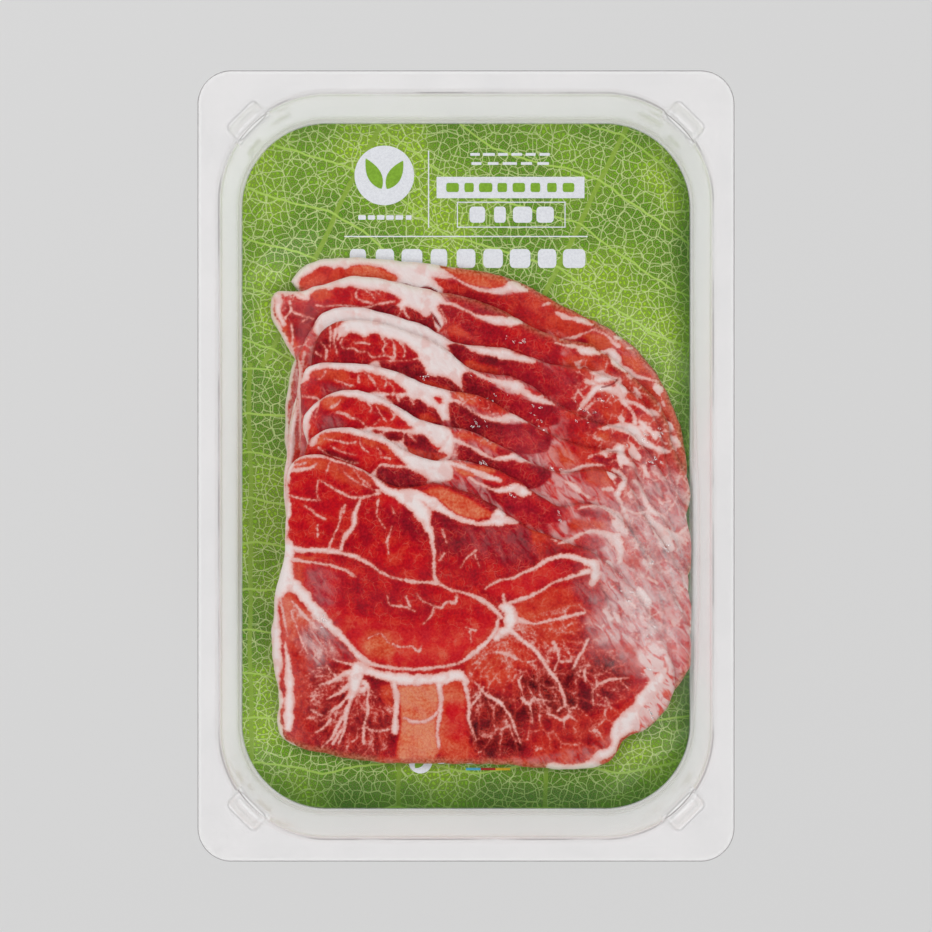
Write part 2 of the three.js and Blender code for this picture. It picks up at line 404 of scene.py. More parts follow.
tray = {
    "mouth": (68.8, 104.05, 30),  # half width, half length and corner radius of the wall's top
    "foot": (64.6, 98.4, 25),
    "rimRadius": 9.5,
    "wall": 0.6,
    "tint": ((0.35, "#F2F1F2"), (0.65, "#FAF8F9")),
    "highlightAndShadeTones": ("#FFFFFF", "#6F6C6C"),  # of the painted highlight and the painted shade hairlines
    "throughTint": "#FBFCFB",
    "footFillet": 1.6,
    "lugHalf": 5.25,  # a corner pocket, along the mouth
    "lugOut": 3.6,  # how far it stands out from the wall
    "lugFloor": 19,
    "lugSoft": 0.9,
    "pocketAt": 2,  # its outline seen from above: the middle, out from the mouth's corner
    "pocketLine": (2.6, 5.5, 1.6),  # and half its size out and along, and its corner radius
    # Painted highlight and painted shade hairlines where the sheet bends: the outline, how far out from it,
    # half width, softness, strength
    "shadeLines": (("mouth", 0.35, 0.07, 0.16, 0.85), ("rim", -0.1, 0.08, 0.12, 0.75),
                  ("pocket", 0, 0.12, 0.2, 0.48), ("pocket", -1.6, 0.08, 0.2, 0.33)),
    "highlightLines": (("mouth", -0.3, 0.1, 0.25, 0.7), ("rim", -0.75, 0.15, 0.3, 0.8),
                    ("pocket", -0.55, 0.22, 0.25, 0.88), ("pocket", -2.2, 0.22, 0.35, 0.78)),
}
mouthRing, outward = ring(*tray["mouth"])
footRing, _ = ring(*tray["foot"])
ringCount = len(mouthRing)


def lugMask():
    # 1 where a ring's point lies in one of the four corner pockets
    mask = np.zeros(ringCount)
    halfX, halfY, radius = tray["mouth"]
    for sx in (1, -1):
        for sy in (1, -1):
            centre = np.array([sx * (halfX - radius), sy * (halfY - radius)])
            across = (mouthRing - centre) @ np.array([-sy, sx]) * np.sqrt(0.5)
            near = ((mouthRing - centre) @ np.array([sx, sy]) > 0) & (np.abs(across) < 15)
            edge = tray["lugHalf"] - np.abs(across)
            mask = np.maximum(mask, near * smooth(-tray["lugSoft"], 0, edge))
    return mask[:, None]


def wallPoint(share, grow):
    # A place on the wall, from its mouth (0) to its foot (1), moved outwards by `grow`
    return mouthRing * (1 - share) + footRing * share + outward * np.asarray(grow).reshape(-1, 1)


def wallShare(z):
    return np.clip((24 - np.asarray(z)) / 22.4, 0, 1)


def lineMask(tree, distance, at, half, soft, strength):
    # A line round a shape at a distance from its outline
    off = addNode(tree, "Math", {"operation": "SUBTRACT"}, distance, at)
    off = addNode(tree, "Math", {"operation": "ABSOLUTE"}, off)
    return addNode(tree, "MapRange", softly, off, half, half + soft, strength, 0)


def fromOutline(tree, x, y, radius):
    # Distance from a rounded rectangle, x and y being those past the centres of its corners
    pastX = addNode(tree, "Math", {"operation": "MAXIMUM"}, x, 0)
    pastY = addNode(tree, "Math", {"operation": "MAXIMUM"}, y, 0)
    corner = addNode(tree, "CombineXYZ", None, pastX, pastY)
    beyond = addNode(tree, "VectorMath", {"operation": "LENGTH"}, corner)
    within = addNode(tree, "Math", {"operation": "MAXIMUM"}, x, y)
    within = addNode(tree, "Math", {"operation": "MINIMUM"}, within, 0)
    both = addNode(tree, "Math", {"operation": "ADD"}, beyond.outputs["Value"], within)
    return addNode(tree, "Math", {"operation": "SUBTRACT"}, both, radius)


def paintedHairlines(tree, place):
    # The tray's painted hairlines as two masks, painted shade and painted highlight
    folded = addNode(tree, "VectorMath", {"operation": "ABSOLUTE"}, place)
    away = {}
    for name, (halfX, halfY, radius) in (("rim", (trayHigh[0], trayHigh[1], tray["rimRadius"])),
                                         ("mouth", tray["mouth"])):
        past = addNode(tree, "VectorMath", {"operation": "SUBTRACT"}, folded,
                       (halfX - radius, halfY - radius, 0))
        axes = addNode(tree, "SeparateXYZ", None, past)
        away[name] = fromOutline(tree, axes.outputs["X"], axes.outputs["Y"], radius)
    slant = np.sqrt(0.5)
    out = addNode(tree, "VectorMath", {"operation": "DOT_PRODUCT"}, past, (slant, slant, 0))
    along = addNode(tree, "VectorMath", {"operation": "DOT_PRODUCT"}, past, (-slant, slant, 0))
    halfOut, halfAlong, corner = tray["pocketLine"]
    out = addNode(tree, "Math", {"operation": "SUBTRACT"}, out.outputs["Value"],
                  tray["mouth"][2] + tray["pocketAt"])
    out = addNode(tree, "Math", {"operation": "ABSOLUTE"}, out)
    out = addNode(tree, "Math", {"operation": "SUBTRACT"}, out, halfOut - corner)
    along = addNode(tree, "Math", {"operation": "ABSOLUTE"}, along.outputs["Value"])
    along = addNode(tree, "Math", {"operation": "SUBTRACT"}, along, halfAlong - corner)
    away["pocket"] = fromOutline(tree, out, along, corner)
    # The mouth's painted shade line comes and goes
    patches = addNode(tree, "TexNoise", fromAbove, place, Scale=1 / 24, Detail=2.0)
    comes = addNode(tree, "MapRange", None, patches, 0.42, 0.58, 0.3, 1)
    masks = []
    for lines in (tray["shadeLines"], tray["highlightLines"]):
        for number, (name, *look) in enumerate(lines):
            line = lineMask(tree, away[name], *look)
            if number == 0:
                mask = line
                if lines is tray["shadeLines"]:
                    mask = addNode(tree, "Math", {"operation": "MULTIPLY"}, line, comes)
            else:
                mask = addNode(tree, "Math", {"operation": "MAXIMUM"}, mask, line)
        masks.append(mask)
    return masks


def buildTray():
    top, wall = trayHigh[2], tray["wall"]
    rimRing, rimOut = ring(trayHigh[0], trayHigh[1], tray["rimRadius"])
    inLug = lugMask()
    rows = []

    def addRow(flat, z):
        rows.append(np.column_stack([flat, np.broadcast_to(np.ravel(z), ringCount)]))

    def addBlend(plain, lug):
        # plain and lug are (grow, z): the same row on the bare wall and in a pocket
        for (grow, z), (lugGrow, lugZ) in zip(plain, lug):
            usual = np.column_stack([wallPoint(wallShare(z), grow), np.full(ringCount, z)])
            pocket = np.column_stack([wallPoint(wallShare(lugZ), lugGrow), np.full(ringCount, lugZ)])
            rows.append(usual * (1 - inLug) + pocket * inLug)

    lugOut, lugFloor = tray["lugOut"], tray["lugFloor"]
    plain = [(1.5, top), (1.25, top - 0.05), (1.05, top - 0.25), (0.95, top - 0.45), (0.75, top - 0.55),
             (0.45, top - 0.6), (0.2, top - 0.75), (0.04, top - 1.05), (0, 23.4), (0, 22.2), (0, 20.8),
             (0, 20), (0, 19.4), (0, 19), (0, 18.6), (0, 18.2)]
    lug = [(lugOut + 0.9, top), (lugOut + 0.6, top - 0.07), (lugOut + 0.4, top - 0.3),
           (lugOut + 0.25, top - 0.6), (lugOut + 0.2, top - 1), (lugOut + 0.15, top - 1.6),
           (lugOut + 0.1, top - 2.4), (lugOut, top - 3.4), (lugOut - 0.05, top - 4.4),
           (lugOut - 0.2, lugFloor + 0.9), (lugOut - 0.5, lugFloor + 0.3), (lugOut - 1, lugFloor + 0.02),
           (1.6, lugFloor), (0.5, lugFloor), (0.15, lugFloor - 0.15), (0, 18.2)]
    # The upper side, from the rim's edge to the floor
    for inset, z in ((0, top - wall), (0, top - 0.25), (0.07, top - 0.08), (0.25, top), (0.8, top)):
        addRow(rimRing - rimOut * inset, z)
    innerEdge = wallPoint(0, 1.5) * (1 - inLug) + wallPoint(0, lugOut + 0.9) * inLug
    for share in (0.25, 0.5, 0.75, 0.9):
        addRow((rimRing - rimOut * 0.8) * (1 - share) + innerEdge * share, top)
    addBlend(plain, lug)
    for z in (16.5, 13, 9.5, 6, 3.8, 2.7):
        addRow(wallPoint(wallShare(z), 0), z)
    fillet = tray["footFillet"]
    floorTop = trayLow[2] + wall
    for angle in np.radians((0, 12, 24, 36, 48, 60, 72, 82, 90)):
        addRow(wallPoint(1, fillet * (np.cos(angle) - 1)), floorTop + fillet * (1 - np.sin(angle)))
    upper = len(rows)
    # The underside, from the rim's edge inwards
    addRow(rimRing - rimOut * 0.8, top - wall)
    outerEdge = wallPoint(0, 1.9) * (1 - inLug) + wallPoint(0, lugOut + 1.3) * inLug
    for share in (0.5, 0.9):
        addRow((rimRing - rimOut * 0.8) * (1 - share) + outerEdge * share, top - wall)
    addBlend([(1.7, top - wall), (1.3, top - wall - 0.15), (0.9, top - wall - 0.6), (wall, 23), (wall, 21.5),
              (wall, 20), (wall, 19.2), (wall, 18.6), (wall, 18), (wall, 17.4)],
             [(lugOut + 1.1, top - wall), (lugOut + 0.85, top - wall - 0.3), (lugOut + 0.75, top - wall - 1),
              (lugOut + 0.7, 22), (lugOut + 0.6, 20.5), (lugOut + 0.3, 19.2), (lugOut - 0.3, lugFloor - wall),
              (1.8, lugFloor - wall), (1.1, lugFloor - wall - 0.1), (wall, 17.4)])
    for z in (14, 10, 6, 3, 1.8):
        addRow(wallPoint(wallShare(z), wall), z)
    reach = fillet + wall
    for angle in np.radians((10, 25, 40, 55, 70, 82, 90)):
        addRow(wallPoint(1, reach * np.cos(angle) - fillet), reach * (1 - np.sin(angle)))
    points = np.vstack(rows)
    faces = [ringFaces(i * ringCount, (i + 1) * ringCount, ringCount) for i in range(upper - 1)]
    under = [ringFaces(i * ringCount, (i + 1) * ringCount, ringCount)[:, ::-1]
             for i in range(upper, len(rows) - 1)]
    closing = [ringFaces(0, upper * ringCount, ringCount)[:, ::-1]]
    floorUp = np.arange(ringCount) + (upper - 1) * ringCount
    floorDown = (np.arange(ringCount) + (len(rows) - 1) * ringCount)[::-1]
    faces += under + closing + [floorUp, floorDown]

    plastic = newMaterial("clear thermoformed PET, slightly milky")
    # Glossy sheet formed over a mould: faintly grey-white where it is thick, with soft draw ripples
    tree = plastic.node_tree
    where = addNode(tree, "TexCoord")
    ripple = addNode(tree, "TexNoise", None, where.outputs["Object"], Scale=1 / (14 * mm), Detail=2.0)
    grit = addNode(tree, "TexNoise", None, where.outputs["Object"], Scale=1 / (0.8 * mm), Detail=1.0)
    height = addNode(tree, "Math", {"operation": "MULTIPLY_ADD"}, grit, 0.05, ripple)
    bump = addNode(tree, "Bump", None, Strength=0.25, Distance=0.6 * mm, Height=height)
    tint = addNode(tree, "ValToRGB", {"stops": tray["tint"]}, ripple)
    gloss = addNode(tree, "MapRange", None, grit, 0.3, 0.7, 0.12, 0.2)
    body = paintedParts(tree, "body")
    place = addNode(tree, "VectorMath", {"operation": "SCALE"}, where.outputs["Object"], Scale=1 / mm)
    # Painted shade and painted highlight hairlines where the sheet bends, which also hide the sheet there
    dark, bright = paintedHairlines(tree, place)
    for mask, tone in zip((bright, dark), tray["highlightAndShadeTones"]):
        tint = addNode(tree, "MixRGB", None, mask, tint, tone)
    shine = addNode(tree, "BsdfPrincipled", None, tint, Roughness=gloss, IOR=1.57, Normal=bump)
    # Its thin wall glows faintly with the light that falls on its other side
    through = addNode(tree, "BsdfTranslucent", None, tray["throughTint"])
    clear = addNode(tree, "BsdfTransparent")
    glow = addNode(tree, "MixShader", None, body[1], clear, through)
    hides = addNode(tree, "Math", {"operation": "MAXIMUM"}, dark, bright)
    hides = addNode(tree, "Math", {"operation": "MAXIMUM"}, body[0], hides)
    both = addNode(tree, "MixShader", None, hides, glow, shine)
    addNode(tree, "OutputMaterial", None, both)
    piece = meshPiece("formedTray", points, faces, "tray", plastic, sharp=55)
    z = points[:, 2]
    # How much the sheet hides: little on the drawn-thin wall, more on the rim, and most low on the wall and
    # on the floor, where the pale sheet is painted light over the shaded gap beside the card
    hides = 0.15 + 0.4 * smooth(23.9, 24.3, z) + 0.75 * smooth(4.5, 2.2, z)
    wallGlow = 0.6 * smooth(24.2, 23.4, z) * smooth(2, 3.2, z)
    # Painted highlights: pale streaks round the corners, where the sheet is made less clear
    cornerX, cornerY = tray["mouth"][0] - tray["mouth"][2], tray["mouth"][1] - tray["mouth"][2]
    aroundX = np.maximum(np.abs(points[:, 0]) - cornerX, 0)
    aroundY = np.maximum(np.abs(points[:, 1]) - cornerY, 0)
    angle = np.arctan2(aroundY, aroundX) + np.sign(points[:, 0]) * 3 + np.sign(points[:, 1]) * 7
    inCorner = smooth(0.15, 0.45, aroundX / 30) * smooth(0.15, 0.45, aroundY / 30)
    # The noise that lays out the painted highlight streaks
    drawn = noise(angle * 5, np.hypot(aroundX, aroundY) * 2.2 + angle * 3, 1.6, 44)
    highlightStreak = inCorner * smooth(0.15, 0.6, drawn) * smooth(24.6, 23.8, z)
    hides = np.maximum(np.clip(hides, 0, 0.95), 0.75 * highlightStreak)
    paintPoints(piece, "body", [hides, wallGlow, 0 * z, 0 * z + 1])
    piece.visible_shadow = piece.visible_diffuse = False  # so clear that it hardly shades what is round it
    print("tray ready")


buildTray()


# The printed card

card = {
    "cornerRadius": 24.2,
    "ribs": (  # main veins: a point on one, direction, the next one's place, side veins' slant and gap
        {"at": (-30, 86), "turn": 64, "next": -63.6, "slant": 100, "gap": 14, "width": 0.55},
        {"at": (-19.5, -70), "turn": 90, "next": -42, "slant": 98, "gap": 12.5, "width": 0.5},
    ),
    "cells": ((6.3, 0.07, 1.2), (2.5, 0.04, 0.5), (1.2, 0.02, 0.25)),  # size, line half width, waviness
    "bend": (30, 2.4),  # size and reach of the main veins' bends
    "waver": (17, 3.6),  # and of the side veins'
    "sideWidth": 0.16,
    "soft": (0.25, 0.14),  # how far the lines of veins and of cells fade out
    "darkBand": 5,  # the shade inside the card's edge
    "edgeTone": "#8FA777",
    "ground": ((0.36, "#689F18"), (0.5, "#84B81C"), (0.64, "#A8D42A")),
    "besideVeins": "#9DA26A",
    "cellTones": (("#D6E6A0", 0.62), ("#D8E6A2", 0.7), ("#BCD468", 0.5)),  # their lines' colour, strength
    "ribTones": ("#90B03C", "#B4D662"),  # main and side veins
    "border": (0.35, 8.0),  # the line between both leaves: its slant and height
}


def leafPrint():
    # Offset-printed coated card: even and slightly glossy, with the net of veins of a leaf held to the light
    printed = newMaterial("offset printed coated card")
    tree = printed.node_tree
    place = inMillimetres(tree)
    swell = addNode(tree, "TexNoise", fromAbove, place, Scale=1 / 26, Detail=2.0)
    lines = []
    for number, rib in enumerate(card["ribs"]):
        local = addNode(tree, "Mapping", {"vector_type": "TEXTURE"}, place, (*rib["at"], 0),
                        (0, 0, np.radians(rib["turn"])))
        axes = addNode(tree, "SeparateXYZ", None, local)
        size, reach = card["bend"]
        bend = addNode(tree, "TexNoise", fromAbove, place, Scale=1 / size, Detail=3.0)
        across = addNode(tree, "Math", {"operation": "MULTIPLY_ADD"}, bend, reach, axes.outputs["Y"])
        across = addNode(tree, "Math", {"operation": "SUBTRACT"}, across, reach / 2)
        off = addNode(tree, "Math", {"operation": "PINGPONG"}, across, abs(rib["next"]))
        other = addNode(tree, "Math", {"operation": "SUBTRACT"}, abs(rib["next"]), off)
        off = addNode(tree, "Math", {"operation": "MINIMUM"}, off, other)
        lines.append((off, rib["width"], number))
        slant = np.radians(rib["slant"])
        back = addNode(tree, "Math", {"operation": "MULTIPLY_ADD"}, off, -1 / np.tan(slant),
                       axes.outputs["X"])
        size, reach = card["waver"]
        waver = addNode(tree, "TexNoise", fromAbove, place, Scale=1 / size, Detail=3.0)
        wavy = addNode(tree, "Math", {"operation": "MULTIPLY_ADD"}, waver, reach, back)
        side = addNode(tree, "Math", {"operation": "PINGPONG"}, wavy, rib["gap"] / 2)
        true = addNode(tree, "Math", {"operation": "MULTIPLY"}, side, np.sin(slant))
        lines.append((true, card["sideWidth"], number))
    for size, halfWidth, waviness in card["cells"]:
        shake = addNode(tree, "TexNoise", fromAbove, place, Scale=1 / size, Detail=2.0)
        centred = addNode(tree, "VectorMath", {"operation": "SUBTRACT"}, shake.outputs["Color"],
                          (0.5, 0.5, 0.5))
        moved = addNode(tree, "VectorMath", {"operation": "MULTIPLY_ADD"}, centred, (2 * waviness,) * 3,
                        place)
        cells = addNode(tree, "TexVoronoi", {"feature": "DISTANCE_TO_EDGE", "voronoi_dimensions": "2D"},
                        moved, Scale=1 / size)
        distance = addNode(tree, "Math", {"operation": "MULTIPLY"}, cells, size)
        lines.append((distance, halfWidth, None))
    fineEdge = lines[-1][0]

    # The second ribs and their side veins hold below a slanting border, the first above it
    xy = addNode(tree, "SeparateXYZ", None, place)
    border = addNode(tree, "Math", {"operation": "MULTIPLY_ADD"}, xy.outputs["X"], card["border"][0],
                     xy.outputs["Y"])
    above = addNode(tree, "Math", {"operation": "GREATER_THAN"}, border, card["border"][1])
    below = addNode(tree, "Math", {"operation": "SUBTRACT"}, 1.0, above)

    ground = addNode(tree, "ValToRGB", {"stops": card["ground"]}, swell)
    dark = addNode(tree, "MixRGB", {"blend_type": "MULTIPLY"}, 1.0, ground, card["besideVeins"])
    # Each small cell is darkest beside its veins, as if it bulged
    bulge = addNode(tree, "MapRange", softly, fineEdge, 0.05, 0.45, 0, 1)
    colour = addNode(tree, "MixRGB", None, bulge, dark, ground)
    for (distance, halfWidth, _), (tone, strength) in zip(lines[:3:-1], card["cellTones"][::-1]):
        end = halfWidth + card["soft"][1]
        mask = addNode(tree, "MapRange", softly, distance, halfWidth, end, strength, 0)
        colour = addNode(tree, "MixRGB", None, mask, colour, tone)
    for distance, halfWidth, number in lines[:4]:
        fade = above if number == 0 else below
        end = halfWidth + card["soft"][0]
        mask = addNode(tree, "MapRange", softly, distance, halfWidth, end, 0.9, 0)
        shown = addNode(tree, "Math", {"operation": "MULTIPLY"}, mask, fade)
        colour = addNode(tree, "MixRGB", None, shown, colour, card["ribTones"][halfWidth < 0.4])
    edge = addNode(tree, "Attribute", {"attribute_name": "edgeShade"})
    shaded = addNode(tree, "MixRGB", {"blend_type": "MULTIPLY"}, edge.outputs["Fac"], colour,
                     card["edgeTone"])
    grain = addNode(tree, "TexNoise", fromAbove, place, Scale=1 / 0.5, Detail=2.0)
    bump = addNode(tree, "Bump", None, Strength=0.15, Distance=0.05 * mm, Height=grain)
    gloss = addNode(tree, "MapRange", None, grain, 0.3, 0.7, 0.38, 0.5)
    shine = addNode(tree, "BsdfPrincipled", None, shaded, Roughness=gloss, IOR=1.5, Normal=bump)
    addNode(tree, "OutputMaterial", None, shine)
    return printed


def buildCard():
    half = (linerHigh - linerLow) / 2
    rings, shades = [], []
    levels = [(0.12, linerLow[2], 1), (0, linerLow[2] + 0.1, 1), (0, linerHigh[2] - 0.1, 1),
              (0.08, linerHigh[2], 1)]
    levels += [(inset, linerHigh[2], 1) for inset in (1, 2, 3, 4, 5, 6, 7, 8, 10, 12, 14, 16)]
    for inset, z, shade in levels:
        flat, way = ring(half[0] - inset, half[1] - inset, card["cornerRadius"] - inset)
        rings.append(np.column_stack([flat, np.full(ringCount, z)]))
        # Darker along the right and, further in, the front
        shade = shade * (1 - smooth(0, card["darkBand"] * (1.6 + 1.6 * smooth(0.3, 0.9, -way[:, 1])), inset))
        shades.append(shade * (0.25 + 0.75 * smooth(-0.75, 0.75, (way[:, 0] - way[:, 1]) * 0.7)))
    points = np.vstack(rings)
    faces = [ringFaces(i * ringCount, (i + 1) * ringCount, ringCount) for i in range(len(rings) - 1)]
    faces += [np.arange(ringCount) + (len(rings) - 1) * ringCount, np.arange(ringCount)[::-1]]
    piece = meshPiece("printedCard", points, faces, "liner", leafPrint(), sharp=50)
    shade = np.concatenate(shades)
    paintPoints(piece, "edgeShade", [shade, shade, shade, np.ones_like(shade)])
    print("card ready")


buildCard()


# The meat's marbling. Every mark is laid out in millimetres on the pile as seen from above.
# A stroke is x, y, half width, and so on along it; a patch is x, y, and so on round it.

